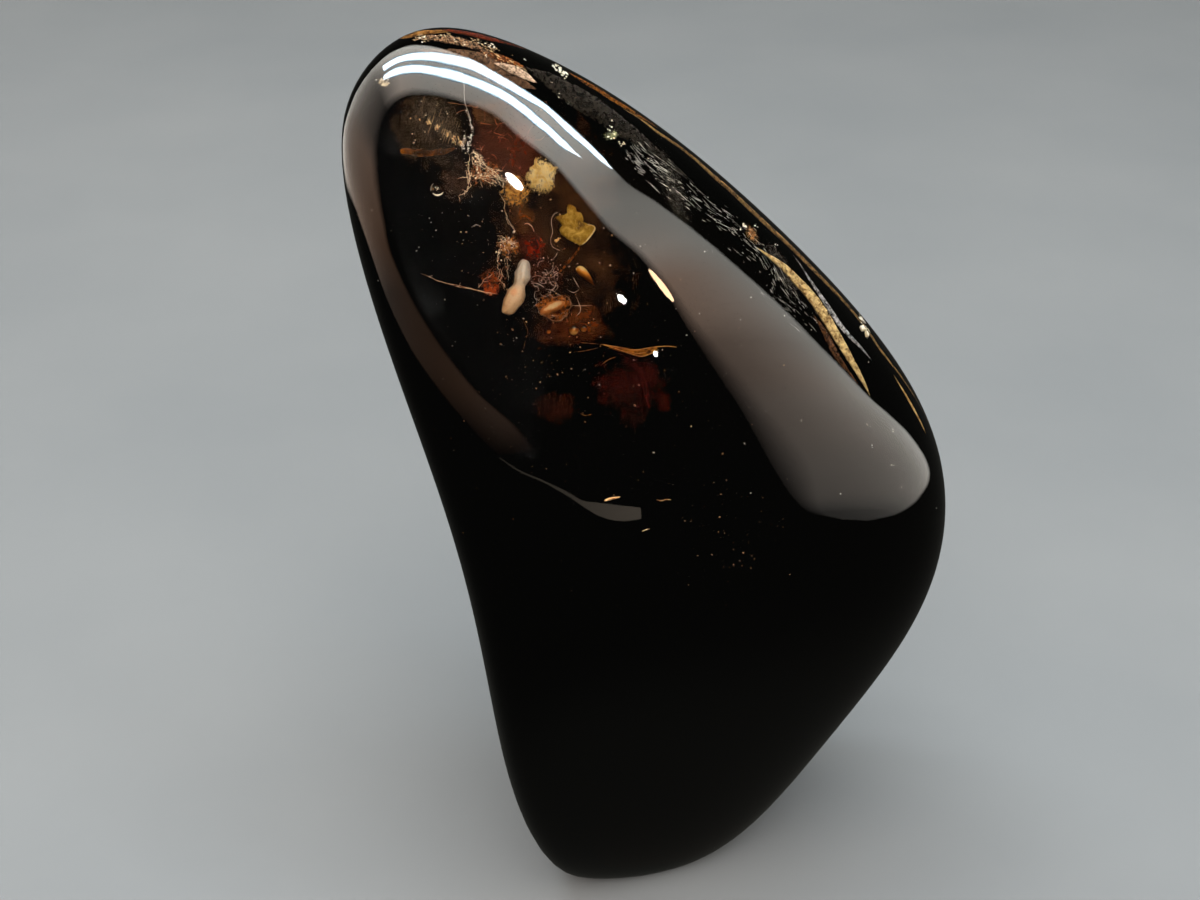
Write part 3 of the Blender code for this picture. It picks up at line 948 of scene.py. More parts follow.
# %% Films
GOLD_DARK, GOLD_LIGHT = (0.20, 0.07, 0.01), (0.95, 0.60, 0.16)
FILMS = (                        # name, outline, depth, colours, patch size, cover, thickest
    ("red_film", ((-2.3, 8.6), (-0.9, 9.1), (0.6, 8.6), (1.9, 7.3), (2.3, 6.2), (1.5, 5.1),
                  (-0.3, 4.9), (-2.1, 6.0)), 2.1, ((0.060, 0.013, 0.004), (0.135, 0.024, 0.006)),
     1.2, 1.15, 0.85),
    ("brown_film", ((-2.3, 9.9), (-1.0, 10.2), (0.9, 9.4), (1.3, 8.4), (-0.4, 8.0), (-2.1, 8.2)),
     2.0, ((0.03, 0.014, 0.007), (0.20, 0.09, 0.03)), 0.6, 0.9, 0.7),
    ("web_film", ((-2.9, 5.8), (-1.7, 6.6), (-0.4, 5.8), (0.0, 4.9), (-0.8, 4.2), (-2.3, 4.5)),
     1.7, ((0.05, 0.012, 0.004), (0.50, 0.18, 0.05)), 0.35, 0.6, 0.8),
    ("gold_film", ((-0.9, 5.2), (0.2, 5.5), (1.3, 4.8), (1.4, 3.6), (0.4, 2.9), (-0.5, 3.6)), 2.0,
     (GOLD_DARK, GOLD_LIGHT), 0.30, 0.65, 0.9),
    ("dim_gold_film", ((-0.5, 3.6), (0.9, 4.0), (1.8, 2.8), (1.2, 1.4), (0.0, 1.4)), 2.4,
     ((0.05, 0.014, 0.003), (0.30, 0.12, 0.02)), 0.5, 0.8, 0.7),
    ("glow_film", ((0.20, 2.00), (1.10, 1.85), (1.75, 1.25), (2.10, 0.60), (1.85, -0.10), (1.10, -0.05),
                   (0.50, 0.45), (0.05, 1.10)), 2.6,
     ((0.12, 0.006, 0.001), (0.40, 0.045, 0.005)), 0.8, 0.85, 0.95),
    ("halo_film", ((-1.2, 1.8), (-0.1, 2.0), (0.8, 1.3), (0.4, 0.3), (-0.5, 0.0), (-1.4, 0.8)),
     2.5, ((0.16, 0.03, 0.004), (0.80, 0.36, 0.06)), 0.3, 0.55, 0.9),
    ("left_glow", ((-1.9, 0.3), (-0.9, 0.3), (-0.4, -0.9), (-0.9, -2.0), (-2.0, -1.7), (-2.5, -0.7)),
     2.2, ((0.08, 0.014, 0.003), (0.40, 0.10, 0.02)), 0.35, 0.5, 0.8),
    ("ember_film", ((2.8, -2.7), (3.8, -2.5), (4.9, -3.2), (5.2, -4.3), (4.1, -4.9), (3.0, -4.4)),
     2.9, ((0.10, 0.028, 0.004), (0.38, 0.13, 0.02)), 1.4, 0.9, 0.8),
    ("red_wisp", ((-2.2, -0.9), (-1.5, -0.8), (-0.9, -1.6), (-1.7, -2.1)), 2.3,
     ((0.25, 0.02, 0.004), (0.80, 0.18, 0.03)), 0.25, 0.8, 0.95),
    ("brown_haze", ((0.4, -3.6), (2.2, -3.6), (4.4, -3.4), (5.4, -4.6), (3.2, -5.2), (1.0, -4.8)),
     3.0, ((0.06, 0.014, 0.003), (0.34, 0.10, 0.02)), 1.2, 0.9, 0.6),
    ("nest_haze", ((0.6, 0.4), (2.4, 0.4), (3.4, -0.8), (2.6, -2.2), (1.0, -2.0), (0.3, -0.8)),
     2.9, ((0.03, 0.008, 0.003), (0.24, 0.045, 0.012)), 0.6, 0.8, 0.6),
    ("crimson_feather", ((3.6, -5.6), (6.2, -5.3), (8.4, -6.4), (9.2, -8.6), (7.8, -10.6),
                         (5.2, -10.4), (3.6, -8.0)), 3.3,
     ((0.05, 0.004, 0.004), (0.22, 0.016, 0.012)), 1.6, 0.6, 0.5),
    ("low_ember", ((-0.2, -8.7), (1.3, -7.6), (3.1, -8.0), (2.9, -9.3), (1.4, -10.0)), 2.8,
     ((0.03, 0.008, 0.003), (0.20, 0.05, 0.016)), 0.9, 0.45, 0.35),
)
SMOKES = (                       # broad and dim, behind everything else
    ("brown_smoke", ((1.4, 9.9), (4.0, 9.9), (6.3, 4.0), (7.2, -0.6), (8.0, -4.0), (1.8, -5.2), (-1.8, -3.6),
                     (-1.1, 1.3), (0.1, 4.9)), 3.2,
     ((0.045, 0.024, 0.012), (0.19, 0.105, 0.055)), 2.2, 0.8, 0.6),
    ("grey_smoke", ((-5.8, 10.2), (-4.0, 10.8), (-1.8, 10.5), (-2.0, 7.5), (-3.0, 5.5), (-4.8, 5.4),
                    (-6.0, 6.2), (-6.4, 8.5)), 2.5,
     ((0.035, 0.026, 0.018), (0.13, 0.095, 0.062)), 1.6, 0.8, 0.65),
)
for name, rim, depth, colours, size, cover, thickest in (*FILMS, *SMOKES):
    film_piece(name, rim, depth, colours, size, cover, thickest)
film_piece("step_haze", ((-5.9, 8.7), (-4.6, 10.2), (-2.6, 10.0), (-2.4, 7.6), (-4.0, 6.9), (-5.8, 7.6)),
           1.5, ((0.02, 0.016, 0.012), (0.10, 0.075, 0.055)), 0.8, 0.7, 0.6,
           stretch=(3.6, 1.0, 0.7))
film_piece("left_dark", ((-3.6, 5.8), (-2.2, 6.2), (-2.0, 4.6), (-3.0, 3.6), (-4.2, 4.6)), 1.9,
           ((0.03, 0.014, 0.010), (0.10, 0.055, 0.040)), 0.7, 0.9, 0.7)

# %% [markdown]
# ## Fine lines across the red film
# The red film is ruled by hair-fine cracks. Seven of them are long enough to be placed one by
# one. The rest are short, and follow one of a few headings, as cracks in glass do.

# %% Fine lines across the red film
FEW_HEADINGS = (1.05, 1.05, -0.3, 2.2)
SHORT_LINES = 22
film_lines = Heap()
RED_LINES = (                    # stops told as across and upslope
    ((-1.44, 8.25), (-1.08, 8.20), (-0.71, 8.10)), ((-0.66, 7.68), (-0.38, 7.56), (-0.10, 7.40)),
    ((-1.27, 6.95), (-1.42, 6.78), (-1.55, 6.59)), ((0.33, 5.75), (0.53, 5.58), (0.72, 5.40)),
    ((-0.37, 5.45), (-0.24, 5.60), (-0.09, 5.77)), ((-2.78, 8.94), (-2.45, 9.04), (-2.11, 9.08)),
    ((-3.20, 9.58), (-2.30, 9.40), (-1.44, 9.18)),
)
for stops in RED_LINES:
    vein(film_lines, stops, 1.2, 0.013, dice, 1, 0.25, 0.06)
for _ in range(SHORT_LINES):
    start = Vector((dice.gauss(-0.3, 0.9), dice.gauss(6.9, 0.9)))
    turn = dice.choice(FEW_HEADINGS) + dice.gauss(0, 0.3)
    tip = start + Vector((math.cos(turn), math.sin(turn))) * dice.uniform(0.15, 0.8)
    bend = (start + tip) / 2 + Vector((dice.gauss(0, 0.07), dice.gauss(0, 0.07)))
    vein(film_lines, (start, bend, tip), dice.uniform(1.2, 1.8), dice.uniform(0.006, 0.012), dice,
         wiggle=0.05, halvings=2)
film_lines.piece("film_lines", bright_finish("film_line", (0.06, 0.012, 0.005), (0.80, 0.34, 0.16),
                                             0.5, 0.3, 0.35), "amber")

# %% [markdown]
# ## Streaks that curve
# Some cracks are narrow enough to be drawn as one soft stroke: the ribs of the crimson feather,
# the rims of the gold sliver, the tail under the lower flake, and a few glints low down. Each
# is a ribbon along a soft path through three to six stops.

# %% Feather, gold sliver and other curved streaks
STREAKS = (                      # piece, stops, depth, width, thickness
    ("feather_lines", ((6.1, -6.0), (6.5, -6.3), (6.98, -6.85), (7.31, -7.98), (7.16, -8.65)), 2.9,
     .22, .04),
    ("feather_lines", ((5.9, -6.1), (6.6, -6.6), (7.0, -7.3), (7.1, -8.2), (7.35, -9.2)), 3.0, .16, .03),
    ("feather_lines", ((4.88, -7.04), (5.72, -7.27), (6.56, -7.59)), 3.0, .08, .03),
    ("feather_lines", ((4.6, -7.5), (5.6, -7.75), (6.6, -8.3)), 3.1, .07, .03),
    ("feather_lines", ((5.3, -6.5), (6.1, -6.9), (6.7, -7.7), (6.9, -8.9)), 3.1, .07, .03),
    ("gold_sliver", ((4.7, -5.2), (5.5, -5.4), (6.6, -5.68), (7.8, -5.6), (8.7, -5.6), (9.3, -5.7)),
     1.8, .05, .05),
    ("gold_sliver", ((4.7, -5.2), (5.3, -5.42), (6.2, -5.8), (7.0, -6.08), (7.6, -5.98), (8.2, -5.75)),
     1.9, .05, .05),
    ("gold_sliver", ((6.1, -5.7), (6.8, -5.9), (7.4, -5.85)), 1.9, .03, .03),
    ("dim_streaks", ((2.9, -5.55), (3.7, -5.5), (4.5, -5.38)), 2.0, .035, .03),
    ("dim_streaks", ((3.4, -5.0), (4.1, -5.1), (4.9, -5.25)), 2.0, .035, .03),
    ("dim_streaks", ((4.6, -6.4), (5.0, -6.15), (5.5, -6.0)), 2.0, .05, .05),
    ("low_glints", ((3.9, -14.5), (4.3, -14.4), (4.9, -14.35)), .6, .16, .06),
    ("low_glints", ((7.1, -14.7), (7.4, -14.8), (7.7, -14.75), (8.0, -14.8)), .9, .05, None),
    ("low_glints", ((6.0, -16.5), (6.3, -16.42), (6.5, -16.4)), .35, .05, None),
    ("dim_streaks", ((0.05, -3.34), (0.32, -4.10), (0.15, -4.59), (-0.03, -5.16)), 1.7, .02, .02),
    ("dim_streaks", ((3.0, -9.2), (3.3, -9.35), (3.7, -9.3)), 1.8, .04, .04),
    ("sliver_belly", ((5.1, -5.36), (6.0, -5.62), (6.9, -5.86), (7.6, -5.8), (8.1, -5.66)),
     1.95, .34, .04),
    ("flake_tail", ((4.0, 0.95), (3.8, 0.55), (3.5, 0.2), (3.0, -0.3), (2.5, -0.75)), 2.4, .13, .04),
    ("flake_tail", ((4.0, 0.9), (3.7, 0.45), (3.3, 0.05), (2.9, -0.15)), 2.3, .05, .04),
)
streak_finishes = {
    "feather_lines": patchy_finish("feather_lines", (0.08, 0.004, 0.005), (0.26, 0.016, 0.022), 0.8,
                                   0.5, 0.0, 0.75),
    "dim_streaks": patchy_finish("dim_streaks", (0.10, 0.035, 0.008), (0.46, 0.22, 0.06), 0.4,
                                 0.7, 0.1, 0.8),
    "gold_sliver": bright_finish("gold_sliver", (0.24, 0.08, 0.01), (0.90, 0.54, 0.16), 0.5, 0.5, 0.3),
    "low_glints": bright_finish("low_glints", (0.40, 0.13, 0.03), (1.0, 0.72, 0.38), 0.3, 0.6, 0.25),
    "sliver_belly": patchy_finish("sliver_belly", (0.16, 0.05, 0.004), (0.66, 0.30, 0.035), 0.3, 0.6,
                                  0.05, 0.85, 0.3),
    "flake_tail": patchy_finish("flake_tail", (0.12, 0.03, 0.005), (0.55, 0.20, 0.03), 0.3, 0.6,
                                0.0, 0.8, 0.2),
}
for kind, finish in streak_finishes.items():
    heap = Heap()
    for name, stops, depth, width, thick in STREAKS:
        if name == kind:
            path = smooth_path([Vector((x, y, depth)) for x, y in stops], 8)
            heap.strand(in_stone(path), width, thick)
    heap.piece(kind, finish, "amber")

# %% [markdown]
# ## A flight of golden steps
# Left of the crack seven tiny cracks lie one behind the other like steps. Each has a bright
# gold lip, and faint grey streaks run up and down from it, because the crack ran on in jerks.
# A lip is a handful of short veins and flat crumbs, thrown about its place.

# %% Steps
STEP_LIPS = ((-5.40, 8.70, .07), (-4.90, 8.60, .09), (-4.41, 8.46, .26), (-3.92, 8.10, .30),
             (-3.40, 7.61, .24), (-2.98, 7.30, .36), (-2.62, 7.07, .32))
STEP_WAY = Vector((0.40, 0.92))
BITS_A_LIP = 5
LOOSE_STREAKS = 46
step_lips, step_streaks = Heap(), Heap()
for x, y, size in STEP_LIPS:
    lip = Vector((x, y))
    for _ in range(BITS_A_LIP):
        foot = lip + Vector((dice.gauss(0, 0.26), dice.gauss(0, 0.2) - 0.5)) * size
        tip = foot + Vector((-0.1, 1.0)) * size * dice.uniform(0.6, 1.2)
        vein(step_lips, (foot, tip), 0.9, size * dice.uniform(0.08, 0.2), dice, wiggle=0.08)
    for _ in range(BITS_A_LIP):
        spot = lip + Vector((dice.gauss(0, 0.28), dice.gauss(0, 0.3))) * size
        step_lips.grain(under_face(*spot, 0.85), size * dice.uniform(0.1, 0.24), dice, 0.5)
    for _ in range(BITS_A_LIP):
        foot = lip + Vector((dice.gauss(0, 0.4) * size, -dice.uniform(0.2, 0.8) * size))
        tip = foot + STEP_WAY * size * dice.uniform(0.8, 1.9)
        vein(step_streaks, (foot, tip), 0.95, size * dice.uniform(0.05, 0.12), dice, wiggle=0.06)
for _ in range(LOOSE_STREAKS):
    x = dice.uniform(-5.2, -2.5)
    y = 8.9 - (x + 5.3) * 0.70 + dice.gauss(0, 0.12)
    length = dice.uniform(0.3, 1.5)
    foot = Vector((x, y)) - STEP_WAY * length * dice.uniform(0.0, 0.4)
    tip = foot + STEP_WAY * length
    vein(step_streaks, (foot, (foot + tip) / 2, tip), 1.0, dice.uniform(0.010, 0.026), dice, wiggle=0.02)
step_lips.piece("step_lips", bright_finish("step_lips", (0.34, 0.12, 0.02), (1.0, 0.84, 0.50),
                                           0.10, 0.0, 0.3), "amber")
step_streaks.piece("step_streaks", patchy_finish("step_streaks", (0.08, 0.06, 0.04),
                   (0.44, 0.34, 0.22), 1.2, 0.7, 0.0, 0.7), "amber")

# %% [markdown]
# ## A nest of hairs
# Plant hairs curl in the resin beside the pale pellet. The long ones go through stops of their
# own. The nest between them is thrown: each hair of it is a thin strand on a path that turns a
# little more at every step, with crumbs caught in between.

# %% Hairs
CURL_STEPS = 16


def curl(start, heading, length, bend, swing, dice):
    """A path that turns at each step, told as across, upslope and depth."""
    x, y, depth = start
    path = [Vector(start)]
    for i in range(CURL_STEPS):
        heading += bend / CURL_STEPS + swing * math.sin(i * 0.7 + start[0] * 5) / CURL_STEPS
        x += math.cos(heading) * length / CURL_STEPS
        y += math.sin(heading) * length / CURL_STEPS
        depth += dice.uniform(-0.5, 0.5) * length / CURL_STEPS
        path.append(Vector((x, y, depth)))
    return path


HAIRS = (                        # stops, depth, width
    (((2.82, 2.75), (2.55, 2.70), (2.36, 2.48), (2.27, 2.14), (2.31, 1.63), (2.15, 1.18),
      (2.20, 0.78), (2.44, 0.59), (2.72, 0.44)), 1.3, .028),
    (((2.48, 0.39), (2.38, 0.20), (2.22, 0.04)), 1.3, .03),
    (((0.64, 2.18), (0.87, 2.20), (1.11, 1.99), (1.22, 1.64)), 1.4, .04),
    (((-0.43, 2.68), (-0.25, 2.45), (-0.11, 2.10), (0.04, 1.87)), 1.4, .035),
    (((0.72, -1.35), (1.00, -1.35), (1.28, -1.47), (1.52, -1.65)), 1.3, .05),
    (((2.20, -2.04), (2.48, -2.20)), 1.3, .05),
    (((3.30, -1.06), (3.64, -1.77)), 1.8, .035),
    (((2.91, -2.75), (3.66, -2.83), (4.30, -2.84)), 1.8, .035),
    (((3.37, -2.21), (3.55, -2.74), (3.58, -3.14), (3.26, -3.46)), 1.8, .035),
    (((-2.5, 2.15), (-2.2, 2.3), (-1.9, 2.2)), 1.4, .03),
)
NEST_HAIRS = 26
NEST_CRUMBS = 40
hairs = Heap()
for stops, depth, width in HAIRS:
    path = smooth_path([Vector((x, y, depth + dice.uniform(-0.05, 0.05))) for x, y in stops], 6)
    hairs.strand(in_stone(path), width * 0.6)
for _ in range(NEST_HAIRS):
    start = (dice.gauss(1.80, 0.55), dice.gauss(-1.0, 0.55), dice.uniform(0.8, 1.5))
    path = curl(start, dice.uniform(0, math.tau), dice.uniform(0.3, 1.2),
                dice.choice((-1, 1)) * dice.uniform(1.0, 4.5), dice.uniform(0, 2), dice)
    hairs.strand(in_stone(path), dice.uniform(0.011, 0.018), sides=5)
for _ in range(NEST_CRUMBS):
    spot = under_face(dice.gauss(1.8, 0.5), dice.gauss(-1.0, 0.5), dice.uniform(1.4, 2.0))
    hairs.grain(spot, 0.03 + 0.07 * dice.random() ** 3, dice)
hairs.piece("hairs", bright_finish("hair", (0.42, 0.32, 0.26), (1.0, 1.0, 1.0), 0.35, 0.0, 0.3),
            "bark_sliver")

# %% [markdown]
# ## A hairline and the husk's creases
# A long fine crack comes in from the left and ends at the pale pellet. The husk's rim is
# creased, and each crease gets a painted highlight: a pale thread. Both are veins with short twigs.

# %% The hairline at the left and husk creases
hairline_and_crease_highlights = Heap()
LEFT_HAIRLINE = ((-5.6, -0.3), (-4.7, -0.8), (-3.9, -1.1), (-2.9, -1.4), (-2.0, -1.7), (-1.3, -1.85))
vein(hairline_and_crease_highlights, LEFT_HAIRLINE, 1.2, 0.028, dice, 5, 0.3, 0.05)
vein(hairline_and_crease_highlights, LEFT_HAIRLINE[2:], 1.25, 0.03, dice, 3, 0.3, 0.07)
vein(hairline_and_crease_highlights, ((-2.4, -1.4), (-2.0, -0.9), (-1.4, -0.6)), 1.6, 0.025, dice, 3, 0.4, 0.1)
# Painted highlights: pale threads along the husk's rim and creases, where they would catch the light.
vein(hairline_and_crease_highlights, (*HUSK_RIM, HUSK_RIM[0]), 2.6, 0.022, dice, 16, 0.3, 0.3)
vein(hairline_and_crease_highlights, HUSK_RIM[3:9], 2.65, 0.018, dice, 12, 0.3, 0.4)
HUSK_CREASES = (((1.60, -3.39), (1.98, -3.59), (2.45, -3.54), (2.76, -3.30), (2.72, -3.07)),
                ((2.51, -2.25), (2.84, -2.45), (2.93, -2.74)),
                ((1.20, -3.05), (1.75, -3.28), (2.30, -3.32), (2.64, -3.12)))
for crease in HUSK_CREASES:
    vein(hairline_and_crease_highlights, crease, 2.1, 0.03, dice, 4, 0.2, 0.16)
hairline_and_crease_highlights.piece("hairline_and_crease_highlights", bright_finish("hairline_and_crease_highlight", (0.24, 0.07, 0.03), (1.0, 0.72, 0.50),
                                             0.3, 0.3, 0.35), "amber")

# %% [markdown]
# ## The bubble's shine
# A bubble mirrors the lamps as a bright crescent low in it. This one is too small to mirror
# much by itself, so its shine is painted: a crescent of pale film along its wall is a painted
# reflection, with a thin far edge and one painted spark.

# %% Painted reflection in the bubble
BUBBLE_RIM = 0.37                # the painted reflection hugs the bubble's wall from outside
bubble_glint = Heap()
across, upslope, depth, _ = BUBBLES[0]
bubble_middle = under_face(across, upslope, depth)


def on_bubble(angle, radius, lift):
    turn = math.radians(angle)
    return (bubble_middle + ACROSS * math.cos(turn) * radius + UPSLOPE * math.sin(turn) * radius
            + SEAM_NORMAL * lift)


crescent = [on_bubble(212 + 5 * i, BUBBLE_RIM, 0.18) for i in range(24)]
bubble_glint.strand(crescent, lambda t: 0.10 * math.sin(math.pi * t) ** 0.8, 0.03)
far_edge = [on_bubble(120 + 6 * i, BUBBLE_RIM + 0.02, 0.14) for i in range(13)]
bubble_glint.strand(far_edge, 0.016, 0.02)
bubble_glint.grain(on_bubble(150, 0.14, 0.40), 0.07, dice)
bubble_glint.piece("painted_bubble_glint", bright_finish("painted_bubble_glint", (0.62, 0.64, 0.64), (1.0, 1.0, 1.0),
                                            0.3, 0.0, 0.2), "pale_pellet")

# %% [markdown]
# ## Beads and dust
# Three beads of gum hang under the husk, turned like the pellets; their lower edges are painted
# gold as a highlight. Dust lies everywhere: crumbs as fine as flour, more of them near the skin,
# most of them tiny.

# %% Beads of gum
BEADS = ((3.10, -4.19, 2.0, .30), (3.71, -4.15, 2.0, .20), (1.58, -4.21, 2.0, .12))
beads = Heap()
for x, y, depth, radius in BEADS:
    place = Matrix.Translation(under_face(x, y, depth)) @ PALE_PLACE.to_3x3().to_4x4()
    beads.turned(place, (radius * 2.2, radius, 0.8), round_end, lambda t: 0.0,
                 lumpy(1.0, 0.08, x), 20, 20)


def bead_finish():
    """Dark gum above, and a painted highlight of gold at the foot of each bead, where the light gathers."""
    finish = Finish("gum_bead")
    top, foot = (under_face(3.4, y, 2.2) for y in (-4.0, -4.45))
    toward_lit_foot = finish.along(top, foot) + (finish.clouds(0.3) - 0.5) * 0.5
    colour = finish.ramp(toward_lit_foot, (0.25, (0.05, 0.02, 0.006)), (0.62, (0.45, 0.16, 0.02)),
                         (0.95, (1.0, 0.66, 0.22)))
    finish.set(base_color=colour, roughness=toward_lit_foot.clamped() * 0.1 + 0.08, coat_weight=1.0)
    return finish.material


beads.piece("gum_beads", bead_finish(), "droplet")

# %% Dust
pale_dust_and_glints, gold_dust, dim_dust = Heap(), Heap(), Heap()


def dust(heap, count, across, upslope, deepest, sizes):
    """Crumbs strewn over a part of the face; most are small."""
    for _ in range(count):
        x, y = dice.gauss(*across), dice.gauss(*upslope)
        depth = 0.15 + deepest * dice.random() ** 2
        hit = skin.ray_cast(on_seam(x, y, OUTSIDE), -SEAM_NORMAL)[0]
        if hit:
            size = sizes[0] + (sizes[1] - sizes[0]) * dice.random() ** 4
            heap.grain(hit - SEAM_NORMAL * depth, size, dice)


dust(pale_dust_and_glints, 130, (1.0, 4.0), (0.0, 5.5), 2.5, (0.015, 0.08))
dust(pale_dust_and_glints, 80, (10.0, 4.5), (-6.5, 5.0), 1.2, (0.015, 0.08))
dust(pale_dust_and_glints, 60, (-4.0, 1.6), (3.5, 3.0), 1.5, (0.015, 0.07))
dust(pale_dust_and_glints, 50, (-3.8, 0.9), (8.4, 0.8), 1.2, (0.015, 0.06))
dust(gold_dust, 150, (1.0, 2.2), (0.5, 3.5), 2.6, (0.015, 0.09))
dust(gold_dust, 40, (9.0, 6.0), (-7.0, 6.0), 1.5, (0.02, 0.08))
dust(dim_dust, 80, (11.5, 1.6), (-17.0, 2.2), 1.2, (0.02, 0.11))
dust(dim_dust, 160, (2.0, 4.0), (-6.0, 6.0), 2.5, (0.02, 0.10))
ROSY_CRUMBS = 14
# Painted glints: bright pale crumbs at these places stand in for sparkle, and join the pale dust.
PAINTED_GLINTS = ((6.51, -6.31, .05), (3.1, -0.5, .09), (0.1, -3.4, .10), (-0.4, -4.5, .07),
            (0.0, 1.75, .15), (-1.0, .55, .13), (-5.35, 7.3, .09), (-5.25, 7.45, .06),
            (7.2, -11.9, .08), (-0.6, 3.0, .08))
for x, y, size in PAINTED_GLINTS:
    pale_dust_and_glints.grain(under_face(x, y, 1.2), size, dice)
for _ in range(ROSY_CRUMBS):     # a rosy clump beside the lower flake
    spot = under_face(dice.gauss(2.58, 0.12), dice.gauss(1.10, 0.07), 1.6)
    gold_dust.grain(spot, dice.uniform(0.05, 0.16), dice, 0.5)
pale_dust_and_glints.piece("pale_dust_and_glints", bright_finish("pale_dust_and_glints", (0.16, 0.12, 0.09), (1.0, 0.97, 0.90),
                                           0.8, 0.2, 0.3), "pale_pellet")
gold_dust.piece("gold_dust", bright_finish("gold_dust", (0.20, 0.07, 0.02), (1.0, 0.72, 0.36),
                                           0.6, 0.3, 0.3), "upper_flake")
dim_dust.piece("dim_dust", bright_finish("dim_dust", (0.05, 0.02, 0.01), (0.36, 0.20, 0.10),
                                         0.6, 0.0, 0.4), "bark_sliver")

# %% [markdown]
# ## The shoulder and the crown
# The side that turns away on the right is full of healed cracks just under the skin. A thick
# gold streak runs down it, and countless pale scratches run the same way. Along the far edge a
# thin gold line, and a paler band inside its lower end, are painted light: the glow of light
# coming through the thin rim. The crown has a brown and red rim, a tan streak, pale chips and a
# veil of grey over a brown ground. A flat band seen from its edge would vanish, so these bands
# face the front.

# %% Bands of the shoulder and the crown
def skin_patch(azimuth, elevation):
    """A place teller for a patch of skin: right and up from its middle, then depth."""
    centre = under_skin(azimuth, elevation, 0.0)
    normal = skin_normal(centre)
    right = Vector((0, 0, 1)).cross(normal).normalized()
    up = normal.cross(right)

    def place(x, y, depth):
        hit, face, _, _ = skin.find_nearest(centre + right * x + up * y)
        return hit - face * depth
    return place


def shoulder_path(stops, depth, steps):
    """A soft path under the skin through some directions from the stone's middle."""
    points = smooth_path([under_skin(a, e, 0.0) for a, e in stops], steps)
    return [skin.find_nearest(p)[0] - skin_normal(p) * depth for p in points]


def leaf_width(width, fullest):
    """A width that swells towards one place and tapers to both ends."""
    def at(t):
        return width * (0.12 + 0.88 * math.sin(math.pi * t ** fullest)) * round_end(2 * t - 1, 0.3)
    return at


GOLD_STREAK = ((93.9, 46.6), (93.6, 43.4), (93.3, 40.8), (92.3, 37.6), (91.2, 34.6), (89.8, 31.8),
               (88.5, 29.4), (87.1, 26.4), (86.0, 23.8), (85.0, 21.1), (84.3, 19.3), (83.8, 18.0))
STREAK_SHADE = ((88.6, 33.0), (87.3, 30.1), (85.7, 27.2), (84.7, 24.3), (84.0, 20.5))
# Painted light: the gold glow along the far edge, where light comes through the thin rim, and a paler band
# inside its lower end.
PAINTED_EDGE_GLOW = ((124.2, 70.3), (121.3, 67.7), (117.1, 65.4), (114.0, 61.3), (111.4, 58.4), (108.5, 55.9),
             (106.1, 52.4), (103.5, 48.9), (101.5, 45.2), (100.1, 41.4), (98.5, 37.5), (97.2, 33.6),
             (96.1, 29.5), (95.1, 26.8), (93.9, 24.1), (92.3, 21.0), (91.8, 17.4), (91.6, 14.0),
             (91.5, 9.0), (91.5, 2.6))
PAINTED_LOWER_GLOW = ((90.3, 17.4), (89.3, 13.5), (88.7, 10.3), (88.2, 7.5))
ORANGE_LINE = ((148.8, 75.1), (144.4, 74.5), (139.5, 73.6), (136.0, 72.3), (131.3, 71.0),
               (127.6, 69.1), (125.0, 67.3), (122.7, 65.4), (120.8, 64.1))
PALE_LINE = ((97.7, 40.1), (96.2, 38.4), (94.4, 36.5), (92.8, 34.2), (91.3, 31.7), (90.0, 29.2),
             (89.3, 26.6), (89.0, 23.8), (88.6, 21.6))
GOLD_RIM = ((-125.7, 73.4), (-125.5, 74.3), (-127.3, 74.8), (-131.3, 75.6), (-136.7, 76.6),
            (-143.8, 77.3), (-149.0, 77.8))
RED_RIM = ((-141.0, 77.0), (-144.4, 77.3), (-149.7, 77.8), (-156.6, 78.2), (-165.0, 78.5),
           (-173.8, 78.3), (177.6, 77.8), (170.6, 77.2))
CROWN_HAZE = ((-124.9, 75.7), (-131.1, 77.1), (-136.7, 78.3), (-143.8, 79.2), (-151.9, 80.1),
              (-161.1, 80.9), (-168.9, 81.7))
CROWN_GROUND = ((-122.0, 77.0), (-128.0, 79.2), (-138.0, 80.9), (-150.0, 82.0), (-163.0, 82.9),
                (-175.0, 83.4), (172.0, 83.2), (160.0, 82.6), (150.0, 81.8))
CROWN_VEIL = ((165.0, 80.2), (154.0, 79.6), (142.0, 78.4), (131.0, 76.2), (122.0, 73.4),
              (114.0, 69.6), (108.0, 65.0), (103.0, 59.0))
BROWN_LINE = ((-158.0, 80.9), (-164.6, 81.3), (-175.1, 81.4), (172.8, 81.1), (164.0, 80.8))
TAN_LINE = ((-166.3, 82.4), (-178.5, 82.4), (169.2, 82.2), (159.0, 81.9), (152.2, 81.6))
VIEWER_SIDE = facing(0, 30)
BAND_STEPS = 10
BAND_THICK = 0.06
